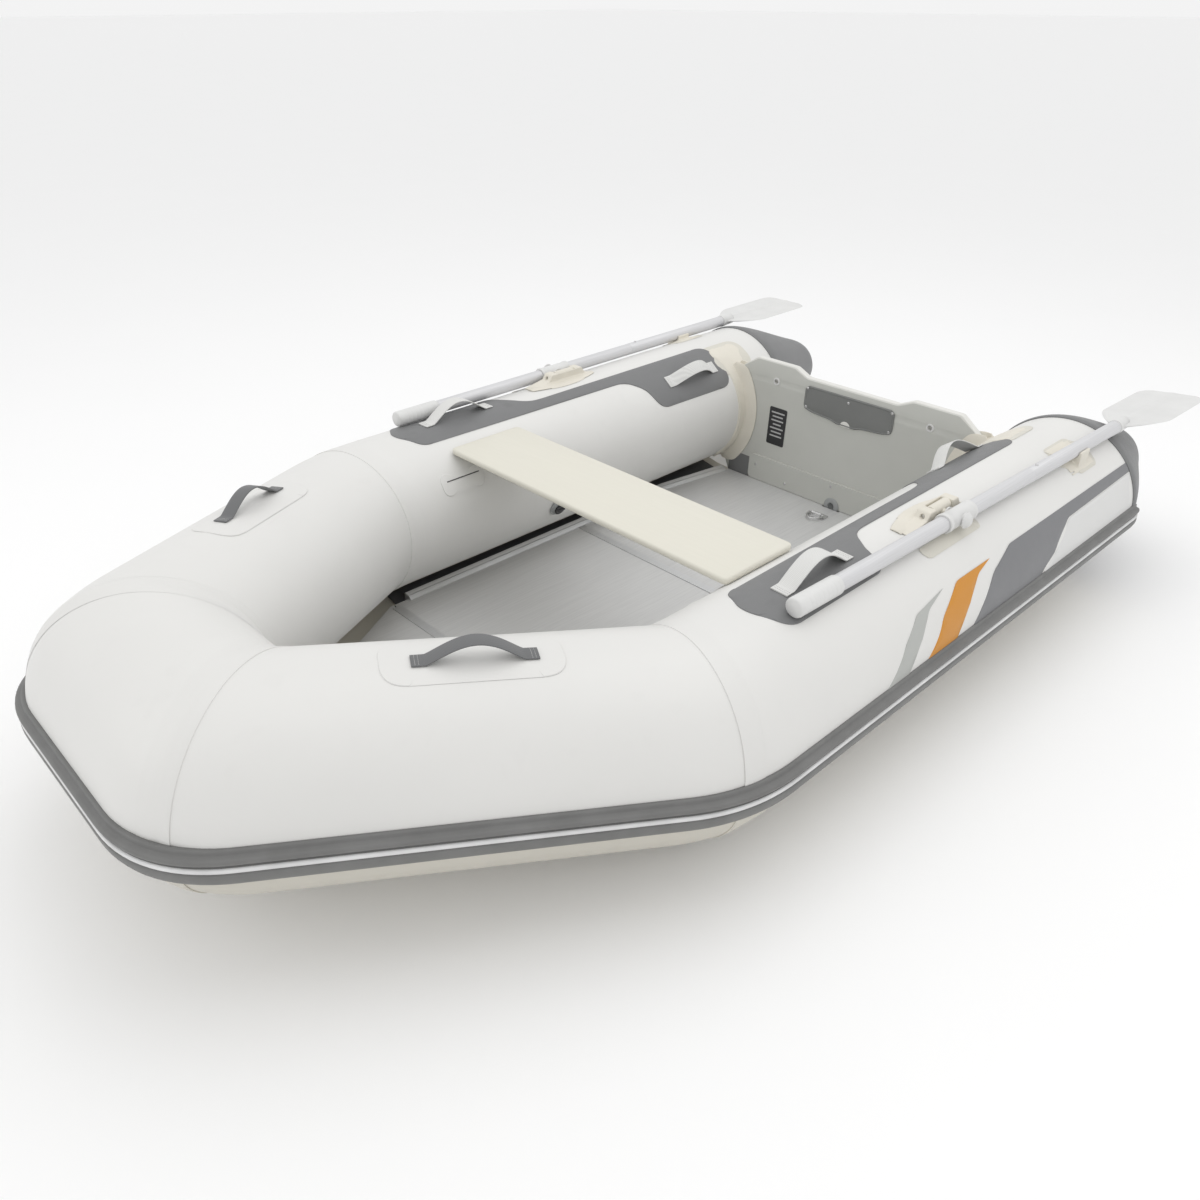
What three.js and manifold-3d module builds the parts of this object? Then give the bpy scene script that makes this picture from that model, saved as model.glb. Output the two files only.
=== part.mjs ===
// Inflatable dinghy with an aluminium board floor, a plywood transom, a bench seat and two oars.
// Millimetres. +X is forward, +Y is port and +Z is up. The origin is under the middle of the boat,
// on the plane that the keel rests on.
// The boat is drawn in its own coordinates: x = 0 where the straight side tubes end at the stern,
// y = 0 on the centre line and z = 0 at the height of the side tubes' centre lines.

import * as THREE from 'three';
import { mergeVertices } from 'three/addons/utils/BufferGeometryUtils.js';
import Module from 'manifold-3d';

const wasm = await Module();
wasm.setup();

// ---------------------------------------------------------------- driving dimensions

const GAP = 0.3; // clearance between pieces that touch
const FABRIC = 1.2; // thickness of the coated fabric

const TUBE_R = 194; // outer radius of the buoyancy tubes
const TUBE_Y = 550; // centre line of a side tube
const KNEE_X = 1531; // where a side tube meets its quarter tube
const BOW_X = 2207; // centre line of the bow tube
const BOW_Y = 172; // where the quarter tubes meet the bow tube
const BOW_RISE = 67; // the bow tube's centre line above the side tubes'
const TUBE_SIDES = 40;

const CONE_LENGTH = 340;
const CONE_TIP_R = 82;

const RAIL_HEIGHT = 72;
const RAIL_DEPTH = 18; // how far the rub rail stands out from the tube
const RAIL_DROP = 12; // its middle below the tubes' centre lines

const KEEL_Z = -240; // underside of the hull
const KEEL_HALF_WIDTH = 130;
const CHINE_Z = -219.5; // underside of the hull beside the floor
const FLOOR_TOP = -200;
const FLOOR_THICKNESS = 12;
const FLOOR_HALF_WIDTH = 436;
const FLOOR_AFT = 214;
const FLOOR_FRONT = 1900;
const BOARD_JOINTS = [852, 1500]; // joints between the floor boards

const TRANSOM_X = 202; // front face of the transom at z = 0
const TRANSOM_THICKNESS = 25;
const TRANSOM_RAKE = 0.033; // lean aft, radians
const TRANSOM_TOP = 190;
const MOTOR_CUT_Z = 169; // top edge where the outboard motor hangs

const SEAT_AFT = 1075;
const SEAT_FRONT = 1294;
const SEAT_HALF_WIDTH = 438;
const SEAT_BOTTOM = 156.5;
const SEAT_THICKNESS = 16;

const OAR_GRIP_END = new THREE.Vector3(1330, 617, 206); // fore end of the port oar's axis
const OAR_FERRULE = new THREE.Vector3(0, 645, 194.5); // where its shaft ends and the blade begins
const OAR_R = 17;
const OAR_WALL = 1.5;
const BLADE_LENGTH = 398;
const BLADE_HALF_WIDTH = 81;
const BLADE_ROLL = 0.2; // both blades lie with their port edge up

const LOCK_X = 775; // middle of the oarlock
const LOCK_BAY = 68; // space between its lugs
const PIN_Y = 586;
const PIN_Z = 207;
const PIN_R = 5;
const KNUCKLE_R = 13;
const STUB_R = 6.5;
const COLLAR_LENGTH = 106;
const COLLAR_R = 20.5;
const HOLDER_X = 215; // middle of the cradle that the oar's aft part rests in

const VALVE_X = 998;
const VALVE_ANGLE = 199; // degrees round the tube from outboard, over the top

const HANDLE_RISE = 40;

const MIDDLE_X = 1010; // halfway from the blades' tips to the rail's front, over the part's origin

// ---------------------------------------------------------------- materials

function finish(color, roughness, metalness = 0) {
  return new THREE.MeshStandardMaterial({ color, roughness, metalness });
}

const white = finish(0xe9e8e3, 0.45);
const grey = finish(0x75767a, 0.6);
const beige = finish(0xbdb8ad, 0.6);
const cream = finish(0xe8e5d8, 0.55);
const ivory = finish(0xe8e0d0, 0.5);
const board = finish(0xa5a6a1, 0.5);
const padGrey = finish(0x66696a, 0.7);
const aluminium = finish(0xb4b5b7, 0.35, 0.9);
const plastic = finish(0xe6e6e4, 0.35);
const dark = finish(0x3f4143, 0.5);
const steel = finish(0xc4c6c8, 0.25, 1);
const webbing = finish(0xededea, 0.8);

// ---------------------------------------------------------------- solids and booleans

// A closed geometry with shared vertices and its faces pointing out.
function closed(geometry) {
  const bare = geometry.index ? geometry.toNonIndexed() : geometry.clone();
  bare.deleteAttribute('normal');
  bare.deleteAttribute('uv');
  const merged = mergeVertices(bare, 1e-4);
  const p = merged.attributes.position;
  const index = merged.index.array;
  const faces = [];
  let volume = 0;
  const [a, b, c] = [new THREE.Vector3(), new THREE.Vector3(), new THREE.Vector3()];
  for (let i = 0; i < index.length; i += 3) {
    const [ia, ib, ic] = [index[i], index[i + 1], index[i + 2]];
    if (ia === ib || ib === ic || ic === ia) continue;
    faces.push(ia, ib, ic);
    a.fromBufferAttribute(p, ia);
    b.fromBufferAttribute(p, ib);
    c.fromBufferAttribute(p, ic);
    volume += a.dot(b.cross(c));
  }
  if (volume < 0) {
    for (let i = 0; i < faces.length; i += 3) [faces[i], faces[i + 1]] = [faces[i + 1], faces[i]];
  }
  merged.setIndex(faces);
  return merged;
}

function solid(geometry) {
  const g = closed(geometry);
  return new wasm.Manifold(new wasm.Mesh({
    numProp: 3,
    vertProperties: new Float32Array(g.attributes.position.array),
    triVerts: new Uint32Array(g.index.array),
  }));
}

function surface(manifold) {
  const m = manifold.getMesh();
  const g = new THREE.BufferGeometry();
  g.setAttribute('position', new THREE.BufferAttribute(new Float32Array(m.vertProperties), 3));
  g.setIndex([...m.triVerts]);
  return g;
}

function join(first, ...rest) {
  return surface(rest.reduce((sum, g) => sum.add(solid(g)), solid(first)));
}

function cut(first, ...tools) {
  return surface(tools.reduce((left, g) => left.subtract(solid(g)), solid(first)));
}

function mirrored(geometry) {
  return geometry.clone().scale(1, -1, 1);
}

// ---------------------------------------------------------------- shapes

const X = new THREE.Vector3(1, 0, 0);
const Y = new THREE.Vector3(0, 1, 0);
const Z = new THREE.Vector3(0, 0, 1);

function at(x, y, z) {
  return new THREE.Vector3(x, y, z);
}

function degrees(angle) {
  return THREE.MathUtils.degToRad(angle);
}

// A point at a distance from the port side tube's axis, at an angle in degrees from outboard up.
function roundTube(x, angle, radius) {
  return at(x, TUBE_Y + radius * Math.cos(degrees(angle)), radius * Math.sin(degrees(angle)));
}

function box(x0, x1, y0, y1, z0, z1) {
  const g = new THREE.BoxGeometry(x1 - x0, y1 - y0, z1 - z0);
  return g.translate((x0 + x1) / 2, (y0 + y1) / 2, (z0 + z1) / 2);
}

function polygon(points) {
  return new THREE.Shape(points.map(([x, y]) => new THREE.Vector2(x, y)));
}

function roundPolygon(radius, sides) {
  const points = [];
  for (let i = 0; i < sides; i++) {
    const turn = (2 * Math.PI * i) / sides;
    points.push([radius * Math.cos(turn), radius * Math.sin(turn)]);
  }
  return polygon(points);
}

function roundedRectangle(x0, x1, y0, y1, r, steps = 4) {
  const corners = [[x1 - r, y1 - r, 0], [x0 + r, y1 - r, 90], [x0 + r, y0 + r, 180], [x1 - r, y0 + r, 270]];
  const points = [];
  for (const [x, y, start] of corners) {
    for (let i = 0; i <= steps; i++) {
      const turn = degrees(start + (90 * i) / steps);
      points.push([x + r * Math.cos(turn), y + r * Math.sin(turn)]);
    }
  }
  return polygon(points);
}

// A section in (side, up) pushed along a straight line.
function bar(section, from, to, up = Z) {
  const along = to.clone().sub(from);
  const length = along.length();
  along.normalize();
  const side = up.clone().cross(along).normalize();
  const g = new THREE.ExtrudeGeometry(section, { depth: length, bevelEnabled: false });
  g.applyMatrix4(new THREE.Matrix4().makeBasis(side, along.clone().cross(side), along));
  return g.translate(from.x, from.y, from.z);
}

function rod(radius, from, to, sides = 20) {
  const up = Math.abs(to.clone().sub(from).normalize().z) > 0.9 ? X : Z;
  return bar(roundPolygon(radius, sides), from, to, up);
}

// A plate drawn in (x, y), from z = low to z = high.
function flatPlate(shape, low, high) {
  const g = new THREE.ExtrudeGeometry(shape, { depth: high - low, bevelEnabled: false });
  return g.translate(0, 0, low);
}

// A plate drawn in (y, z), from x = aft to x = front.
function uprightPlate(shape, aft, front) {
  const g = new THREE.ExtrudeGeometry(shape, { depth: front - aft, bevelEnabled: false });
  return g.applyMatrix4(new THREE.Matrix4().makeBasis(Y, Z, X)).translate(aft, 0, 0);
}

// A box whose unit coordinates (u, v, w) are bent to the points that map returns.
function bent(nu, nv, map) {
  const g = new THREE.BoxGeometry(1, 1, 1, nu, nv, 1);
  const p = g.attributes.position;
  for (let i = 0; i < p.count; i++) {
    const q = map(p.getX(i) + 0.5, p.getY(i) + 0.5, p.getZ(i) + 0.5);
    p.setXYZ(i, q.x, q.y, q.z);
  }
  return g;
}

// A sheet of fabric whose underside passes through place(i, j), with x rising with i and y with j.
// Both its faces are split into triangles along the same diagonals.
function fabricSheet(rows, columns, place) {
  const points = [];
  for (const lift of [0, FABRIC]) {
    for (let i = 0; i < rows; i++) {
      for (let j = 0; j < columns; j++) {
        const p = place(i, j);
        points.push(p.x, p.y, p.z + lift);
      }
    }
  }
  const low = (i, j) => i * columns + j;
  const high = (i, j) => rows * columns + low(i, j);
  const faces = [];
  const quad = (a, b, c, d) => faces.push(a, b, c, a, c, d);
  const [lastRow, lastColumn] = [rows - 1, columns - 1];
  for (let i = 0; i < lastRow; i++) {
    for (let j = 0; j < lastColumn; j++) {
      quad(low(i, j), low(i, j + 1), low(i + 1, j + 1), low(i + 1, j));
      quad(high(i, j), high(i + 1, j), high(i + 1, j + 1), high(i, j + 1));
    }
    quad(low(i, 0), low(i + 1, 0), high(i + 1, 0), high(i, 0));
    quad(low(i, lastColumn), high(i, lastColumn), high(i + 1, lastColumn), low(i + 1, lastColumn));
  }
  for (let j = 0; j < lastColumn; j++) {
    quad(low(0, j), high(0, j), high(0, j + 1), low(0, j + 1));
    quad(low(lastRow, j), low(lastRow, j + 1), high(lastRow, j + 1), high(lastRow, j));
  }
  const g = new THREE.BufferGeometry();
  g.setAttribute('position', new THREE.BufferAttribute(new Float32Array(points), 3));
  g.setIndex(faces);
  return g;
}

// A turned piece: the profile is [radius, distance along the axis].
function turned(profile, from, axis, sides = 16) {
  const g = new THREE.LatheGeometry(profile.map(([r, d]) => new THREE.Vector2(r, d)), sides);
  g.applyQuaternion(new THREE.Quaternion().setFromUnitVectors(Y, axis.clone().normalize()));
  return g.translate(from.x, from.y, from.z);
}

// A route through given points, one step of the extrusion for each. The section's x lies to the
// left of the way it runs and its y lies upward.
class Route extends THREE.Curve {
  constructor(points, up = Z) {
    super();
    this.points = points;
    this.up = up;
  }

  getSpacedPoints() {
    return this.points;
  }

  computeFrenetFrames() {
    const frames = { tangents: [], normals: [], binormals: [] };
    this.points.forEach((point, i) => {
      const before = this.points[Math.max(i - 1, 0)];
      const after = this.points[Math.min(i + 1, this.points.length - 1)];
      const arrive = point.clone().sub(before).normalize();
      const leave = after.clone().sub(point).normalize();
      const tangent = arrive.add(leave).normalize();
      const normal = this.up.clone().cross(tangent).normalize();
      frames.tangents.push(tangent);
      frames.normals.push(normal);
      frames.binormals.push(tangent.clone().cross(normal));
    });
    return frames;
  }
}

function swept(section, points, up = Z) {
  const extrudePath = new Route(points, up);
  return new THREE.ExtrudeGeometry(section, { steps: points.length - 1, extrudePath });
}

// Everything on the side of a plane that its normal points to.
function halfSpace(point, normal) {
  const reach = 1500;
  const g = new THREE.BoxGeometry(reach, reach, reach).translate(0, 0, reach / 2);
  g.applyQuaternion(new THREE.Quaternion().setFromUnitVectors(Z, normal.clone().normalize()));
  return g.translate(point.x, point.y, point.z);
}

// ---------------------------------------------------------------- the scene graph

const boat = new THREE.Group();
boat.position.set(-MIDDLE_X, 0, -KEEL_Z);

function add(name, geometry, material) {
  const mesh = new THREE.Mesh(closed(geometry), material.clone());
  mesh.name = name;
  boat.add(mesh);
}

function addPair(name, portGeometry, material) {
  add(`${name}_port`, portGeometry, material);
  add(`${name}_starboard`, mirrored(portGeometry), material);
}

// ---------------------------------------------------------------- buoyancy tubes

const stern = at(0, TUBE_Y, 0);
const knee = at(KNEE_X, TUBE_Y, 0);
const bowCorner = at(BOW_X, BOW_Y, BOW_RISE);
const quarterWay = bowCorner.clone().sub(knee).normalize();
const kneePlane = X.clone().add(quarterWay).normalize();
const bowPlane = quarterWay.clone().sub(Y).normalize();
const otherBowCorner = at(BOW_X, -BOW_Y, BOW_RISE);
const otherBowPlane = bowPlane.clone().multiply(at(-1, 1, -1));

function offset(point, normal, distance) {
  return point.clone().addScaledVector(normal.clone().normalize(), distance);
}

// A bar of tube section from one point to another, cut by the planes at its ends.
function mitred(section, from, to, fromNormal, toNormal, gap) {
  const overrun = TUBE_R;
  const way = to.clone().sub(from).normalize();
  return cut(
    bar(section, offset(from, way, -overrun), offset(to, way, overrun)),
    halfSpace(offset(from, fromNormal, gap), fromNormal.clone().negate()),
    halfSpace(offset(to, toNormal, -gap), toNormal),
  );
}

function tube(from, to, fromNormal, toNormal) {
  const wall = roundPolygon(TUBE_R, TUBE_SIDES);
  wall.holes.push(roundPolygon(TUBE_R - FABRIC, TUBE_SIDES));
  return mitred(wall, from, to, fromNormal, toNormal, GAP / 2);
}

// The tubes as full solids with a margin, for cutting neighbours clear of them.
function tubeSpace(margin) {
  const overlap = -1;
  const around = roundPolygon(TUBE_R + margin, TUBE_SIDES);
  const side = mitred(around, offset(stern, X, -60), knee, X, kneePlane, overlap);
  const quarter = mitred(around, knee, bowCorner, kneePlane, bowPlane, overlap);
  const bow = mitred(around, bowCorner, otherBowCorner, bowPlane, otherBowPlane, overlap);
  return [side, mirrored(side), quarter, mirrored(quarter), bow];
}

const valveWay = roundTube(0, VALVE_ANGLE, 1).sub(stern);
const valveFoot = roundTube(VALVE_X, VALVE_ANGLE, TUBE_R);
const VALVE_BARREL_R = 17;

function sideTube() {
  const hole = rod(VALVE_BARREL_R + GAP, offset(valveFoot, valveWay, -20), offset(valveFoot, valveWay, 20));
  return cut(tube(stern, knee, X, kneePlane), hole);
}

addPair('side_tube', sideTube(), white);
addPair('quarter_tube', tube(knee, bowCorner, kneePlane, bowPlane), white);
add('bow_tube', tube(bowCorner, otherBowCorner, bowPlane, otherBowPlane), white);

// A tail cone is a shell, open where it joins its side tube and closed by a blunt tip.
function tailCone() {
  const nose = new THREE.SplineCurve([
    new THREE.Vector2(TUBE_R, 0),
    new THREE.Vector2(TUBE_R - 22, 75),
    new THREE.Vector2(TUBE_R - 78, 225),
    new THREE.Vector2(CONE_TIP_R, CONE_LENGTH - 24),
    new THREE.Vector2(CONE_TIP_R - 26, CONE_LENGTH - 3),
    new THREE.Vector2(0, CONE_LENGTH),
  ]);
  const outside = nose.getPoints(nose.points.length - 1).map((p) => [p.x, p.y + GAP / 2]);
  const inside = outside.map(([r, d]) => [Math.max(r - FABRIC, 0), d === GAP / 2 ? d : d - FABRIC]);
  inside[inside.length - 1][0] = 0;
  return turned([...inside.reverse(), ...outside], stern, X.clone().negate(), TUBE_SIDES);
}

addPair('tail_cone', tailCone(), grey);

// ---------------------------------------------------------------- rub rail

// The line at a distance outside the tubes' centre lines, port stern round the bow to starboard.
function outsideLine(distance) {
  const corners = [at(-10, TUBE_Y, 0), knee, bowCorner];
  const ways = [X, quarterWay.clone().setZ(0).normalize(), Y.clone().negate()];
  const outward = ways.map((way) => at(-way.y, way.x, 0));
  const ends = [corners[0].clone().addScaledVector(outward[0], distance)];
  for (const i of [1, 2]) {
    const spread = outward[i - 1].clone().add(outward[i]);
    const scale = distance / (1 + outward[i - 1].dot(outward[i]));
    ends.push(corners[i].clone().addScaledVector(spread, scale));
  }
  return ends;
}

// The rail's path: straight runs with each corner rounded by a quadratic curve.
function railPath(distance) {
  const [start, kneeCorner, corner] = outsideLine(distance);
  const otherCorner = corner.clone().setY(-corner.y);
  const roundings = [[kneeCorner, start, corner, 60, 3], [corner, kneeCorner, otherCorner, 36, 4]];
  const half = [start];
  for (const [middle, before, after, length, steps] of roundings) {
    const a = offset(middle, before.clone().sub(middle), length);
    const b = offset(middle, after.clone().sub(middle), length);
    half.push(...new THREE.QuadraticBezierCurve3(a, middle, b).getPoints(steps));
  }
  const otherHalf = half.map((p) => p.clone().setY(-p.y)).reverse();
  return [...half, ...otherHalf];
}

function rubRail() {
  const h = RAIL_HEIGHT / 2;
  const d = RAIL_DEPTH;
  const section = polygon([
    [-14, -h], [5, -h], [d - 3, -h + 6], [d - 3, -12], [d - 6, -9], [d - 6, -4],
    [d - 3, -2], [d, 8], [d - 4, 12], [d - 4, 22], [8, h], [-14, h],
  ]);
  const rail = swept(section, railPath(TUBE_R)).translate(0, 0, -RAIL_DROP);
  return cut(rail, ...tubeSpace(GAP));
}

add('rub_rail', rubRail(), grey);

// ---------------------------------------------------------------- hull bottom and keel

// The hull's fabric bottom at a station x: half breadths and heights from the keel out to the tube.
function bottomSection(x) {
  const f = THREE.MathUtils.clamp((x - KNEE_X) / (BOW_X - KNEE_X), 0, 1);
  const spineY = THREE.MathUtils.lerp(TUBE_Y, BOW_Y, f);
  const edgeZ = -TUBE_R - FABRIC - 1.5 + BOW_RISE * f;
  const lift = f ** 4;
  const bowEdgeZ = edgeZ - BOW_RISE * f + BOW_RISE;
  return [
    [0, THREE.MathUtils.lerp(KEEL_Z, bowEdgeZ, lift)],
    [THREE.MathUtils.lerp(KEEL_HALF_WIDTH, 60, f), THREE.MathUtils.lerp(KEEL_Z, bowEdgeZ, lift)],
    [spineY - THREE.MathUtils.lerp(80, 60, f), THREE.MathUtils.lerp(CHINE_Z, bowEdgeZ, lift)],
    [spineY + 25, edgeZ],
  ];
}

function hullBottom() {
  const aft = TRANSOM_X - TRANSOM_THICKNESS - 5;
  const stations = [aft];
  const steps = 16;
  for (let i = 0; i <= steps; i++) stations.push(THREE.MathUtils.lerp(KNEE_X, BOW_X, i / steps));
  const middle = 3;
  return fabricSheet(stations.length, 2 * middle + 1, (i, j) => {
    const [y, z] = bottomSection(stations[i])[Math.abs(j - middle)];
    return at(stations[i], Math.sign(j - middle) * y, z);
  });
}

// The inflatable keel: a flat fabric tube under the floor boards, open at its inflation ends.
function keelTube() {
  const bottom = KEEL_Z + FABRIC + 2 * GAP;
  const top = FLOOR_TOP - FLOOR_THICKNESS - 2;
  const middle = (bottom + top) / 2;
  const h = (top - bottom) / 2;
  const half = 100;
  const outer = roundedRectangle(-half, half, -h, h, h - 0.5);
  const [inHalf, inH] = [half - FABRIC, h - FABRIC];
  outer.holes.push(roundedRectangle(-inHalf, inHalf, -inH, inH, inH - 0.5));
  return bar(outer, at(250, 0, middle), at(1620, 0, middle));
}

add('hull_bottom', hullBottom(), beige);
add('keel_tube', keelTube(), dark);

// ---------------------------------------------------------------- transom

// Leans a piece of the transom aft about the line x = TRANSOM_X, z = 0.
function raked(geometry) {
  return geometry.translate(-TRANSOM_X, 0, 0).rotateY(-TRANSOM_RAKE).translate(TRANSOM_X, 0, 0);
}

const transomAft = TRANSOM_X - TRANSOM_THICKNESS;
const DRAIN_Z = -192;
const DRAIN_R = 11;
const DRAIN_BARREL_R = 15;

function symmetricOutline(half) {
  const other = half.filter(([y]) => y > 0).map(([y, z]) => [-y, z]).reverse();
  return polygon([...half, ...other]);
}

function transomOutline(margin = 0) {
  const bottom = KEEL_Z + FABRIC + 1 - margin;
  const top = TRANSOM_TOP + margin;
  const edge = TUBE_R + 8 - margin;
  const half = [[0, bottom], [KEEL_HALF_WIDTH, bottom], [400 + margin, CHINE_Z + FABRIC + 4 - margin]];
  for (let angle = 232; angle >= 137; angle -= 9.5) {
    const p = roundTube(0, angle, edge);
    half.push([p.y + margin, p.z]);
  }
  half.push([334 + margin, top], [194, top], [149, MOTOR_CUT_Z], [0, MOTOR_CUT_Z]);
  return symmetricOutline(half);
}

// A rod through the transom's faces, for cutting a hole.
function throughTransom(radius, y, z) {
  return rod(radius, at(transomAft - 20, y, z), at(TRANSOM_X + 20, y, z));
}

function transomBoard() {
  const boltHole = throughTransom(7, 255, 131);
  const drain = throughTransom(DRAIN_BARREL_R + GAP, 0, DRAIN_Z);
  const blank = uprightPlate(transomOutline(), transomAft, TRANSOM_X);
  return raked(cut(blank, boltHole, mirrored(boltHole), drain));
}

// The moulded holder grips the board's end and is glued to the tube by a wide foot.
function transomHolder() {
  const grip = 4;
  const flangeR = 236;
  const [top, end, step] = [132, 234, 8.5]; // degrees round the tube
  const web = [];
  for (let angle = top; angle <= end; angle += step) {
    const p = roundTube(0, angle, flangeR);
    web.push([p.y, p.z]);
  }
  for (let angle = end; angle >= top; angle -= step) {
    const p = roundTube(0, angle, TUBE_R - 4);
    web.push([p.y, p.z]);
  }
  const flange = raked(uprightPlate(polygon(web), transomAft - grip, TRANSOM_X + grip));
  const foot = bent(4, 14, (u, v, w) => {
    const height = Math.abs(u - 0.5) > 0.45 ? 1.6 : 4.5;
    const [x, angle] = [THREE.MathUtils.lerp(132, 262, u), THREE.MathUtils.lerp(108, 236, v)];
    return roundTube(x, angle, TUBE_R - 2 + w * (2 + height));
  });
  const slot = raked(cut(
    uprightPlate(transomOutline(GAP), transomAft - GAP, TRANSOM_X + GAP),
    box(0, 400, -300, 300, -300, 300),
  ));
  const clearance = bar(roundPolygon(TUBE_R + GAP, TUBE_SIDES), at(100, TUBE_Y, 0), at(300, TUBE_Y, 0));
  return cut(join(flange, foot), slot, clearance);
}

function transomStrip() {
  const shape = roundedRectangle(-317, 317, FLOOR_TOP + 1, -118, 14);
  const drain = rod(DRAIN_BARREL_R + GAP, at(TRANSOM_X - 20, 0, DRAIN_Z), at(TRANSOM_X + 40, 0, DRAIN_Z));
  return raked(cut(uprightPlate(shape, TRANSOM_X + GAP, TRANSOM_X + 7), drain));
}

function motorPadInner() {
  const half = [
    [0, 60], [34, 60], [46, 66], [120, 72], [143, 78], [148, 88], [148, 140], [139, 149], [0, 149],
  ];
  const notch = rod(17, at(TRANSOM_X, 0, 57), at(TRANSOM_X + 20, 0, 57));
  return raked(cut(uprightPlate(symmetricOutline(half), TRANSOM_X + GAP, TRANSOM_X + 6), notch));
}

function motorPadOuter() {
  const shape = roundedRectangle(-140, 140, -20, MOTOR_CUT_Z + 5, 16);
  return raked(uprightPlate(shape, transomAft - 7, transomAft - GAP));
}

add('transom_board', transomBoard(), board);
addPair('transom_holder', transomHolder(), ivory);
add('transom_strip', transomStrip(), board);
add('motor_pad_inner', motorPadInner(), padGrey);
add('motor_pad_outer', motorPadOuter(), padGrey);

// The drain runs through the strip and the transom. A flap closes it outside.
const FLAP_HINGE_Z = DRAIN_Z + 24;

function drainFitting() {
  const front = TRANSOM_X + 7 + GAP;
  const length = front - transomAft + 5;
  const [flangeR, flange] = [25, 3];
  const profile = [
    [DRAIN_R, -flange], [flangeR, -flange], [flangeR, 0], [DRAIN_BARREL_R, 0],
    [DRAIN_BARREL_R, length], [DRAIN_R, length], [DRAIN_R, -flange],
  ];
  return raked(turned(profile, at(front, 0, DRAIN_Z), X.clone().negate()));
}

function drainFlap() {
  const aft = transomAft - 5 - 2 * GAP;
  const disc = rod(18, at(aft - 3, 0, DRAIN_Z), at(aft, 0, DRAIN_Z));
  const arm = box(aft - 3, aft, -7, 7, DRAIN_Z, FLAP_HINGE_Z);
  const knuckle = rod(3, at(aft - 1.5, -7, FLAP_HINGE_Z), at(aft - 1.5, 7, FLAP_HINGE_Z), 12);
  return raked(join(disc, arm, knuckle));
}

add('drain_fitting', drainFitting(), dark);
add('drain_flap', drainFlap(), dark);

// ---------------------------------------------------------------- floor

const boardLow = FLOOR_TOP - FLOOR_THICKNESS;
const JOINER_HALF = 12;

// Half breadth of the floor at a station x: full between two stations, and tapered beyond them.
const [FLOOR_WIDE_AFT, FLOOR_WIDE_FRONT] = [482, 1510];
const [AFT_HALF_WIDTH, FRONT_HALF_WIDTH] = [398, 215];

function floorHalfWidth(x) {
  const { mapLinear } = THREE.MathUtils;
  const full = FLOOR_HALF_WIDTH;
  if (x < FLOOR_WIDE_AFT) return mapLinear(x, FLOOR_AFT, FLOOR_WIDE_AFT, AFT_HALF_WIDTH, full);
  if (x > FLOOR_WIDE_FRONT) return mapLinear(x, FLOOR_WIDE_FRONT, FLOOR_FRONT, full, FRONT_HALF_WIDTH);
  return full;
}

function floorBoard(aft, front) {
  const stations = [aft, FLOOR_WIDE_AFT, FLOOR_WIDE_FRONT, front].filter((x) => x >= aft && x <= front);
  const port = stations.map((x) => [x, floorHalfWidth(x)]);
  const starboard = stations.map((x) => [x, -floorHalfWidth(x)]);
  return flatPlate(polygon([...starboard, ...port.reverse()]), boardLow, FLOOR_TOP);
}

const [aftJoint, frontJoint] = BOARD_JOINTS;
const webHalf = 1.5;
const drainNotch = box(FLOOR_AFT - 10, FLOOR_AFT + 8, -30, 30, boardLow - 5, FLOOR_TOP + 5);
add('floor_board_aft', cut(floorBoard(FLOOR_AFT, aftJoint - webHalf - GAP), drainNotch), aluminium);
add('floor_board_middle', floorBoard(aftJoint + webHalf + GAP, frontJoint - webHalf - GAP), aluminium);
add('floor_board_front', floorBoard(frontJoint + webHalf + GAP, FLOOR_FRONT), aluminium);

// An H profile that two boards plug into.
function joiner(x) {
  const [a, w, t] = [JOINER_HALF, webHalf, 1.6];
  const [low, high] = [boardLow - GAP, FLOOR_TOP + GAP];
  const section = polygon([
    [-a, low - t], [a, low - t], [a, low], [w, low], [w, high], [a, high],
    [a, high + t], [-a, high + t], [-a, high], [-w, high], [-w, low], [-a, low],
  ]);
  return bar(section, at(x, FLOOR_HALF_WIDTH - 14, 0), at(x, -FLOOR_HALF_WIDTH + 14, 0));
}

add('floor_joiner_aft', joiner(aftJoint), aluminium);
add('floor_joiner_front', joiner(frontJoint), aluminium);

// A stringer clips over the outer edges of the boards and keeps them in one plane.
function stringer() {
  const [low, high, t] = [boardLow - GAP, FLOOR_TOP + GAP, 2];
  const section = polygon([
    [-11, low - t], [18, low - t], [18, high + 9], [14, high + 12], [10, high + 9], [6, high + 12],
    [2, high + 9], [-2, high + 9], [-11, high + t], [-11, high], [2, high], [2, low], [-11, low],
  ]);
  const path = [230, FLOOR_WIDE_AFT, 1454].map((x) => at(x, floorHalfWidth(x), 0));
  return swept(section, path);
}

addPair('stringer', stringer(), aluminium);

// A low eye for tying things down, with a wire ring that lies flat.
const RING_X = 290;
const RING_Z = FLOOR_TOP + 8;

function ringBase() {
  const outline = roundedRectangle(RING_X - 20, RING_X + 16, -30, 30, 6);
  const plate = flatPlate(outline, FLOOR_TOP + GAP, FLOOR_TOP + 3);
  const barrel = rod(6, at(RING_X, -16, RING_Z), at(RING_X, 16, RING_Z));
  const pedestal = box(RING_X - 6, RING_X + 6, -16, 16, FLOOR_TOP + 1, RING_Z);
  return cut(join(plate, barrel, pedestal), rod(2.8, at(RING_X, -40, RING_Z), at(RING_X, 40, RING_Z)));
}

function wireRing() {
  const wire = roundPolygon(2.4, 8);
  const leg = bar(wire, at(RING_X, -24, RING_Z), at(RING_X, 24, RING_Z));
  const bow = [];
  for (let i = 0; i <= 12; i++) {
    const turn = Math.PI * (i / 12);
    bow.push(at(RING_X + 38 * Math.sin(turn), 24 * Math.cos(turn), RING_Z));
  }
  return join(leg, swept(wire, bow));
}

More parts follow.
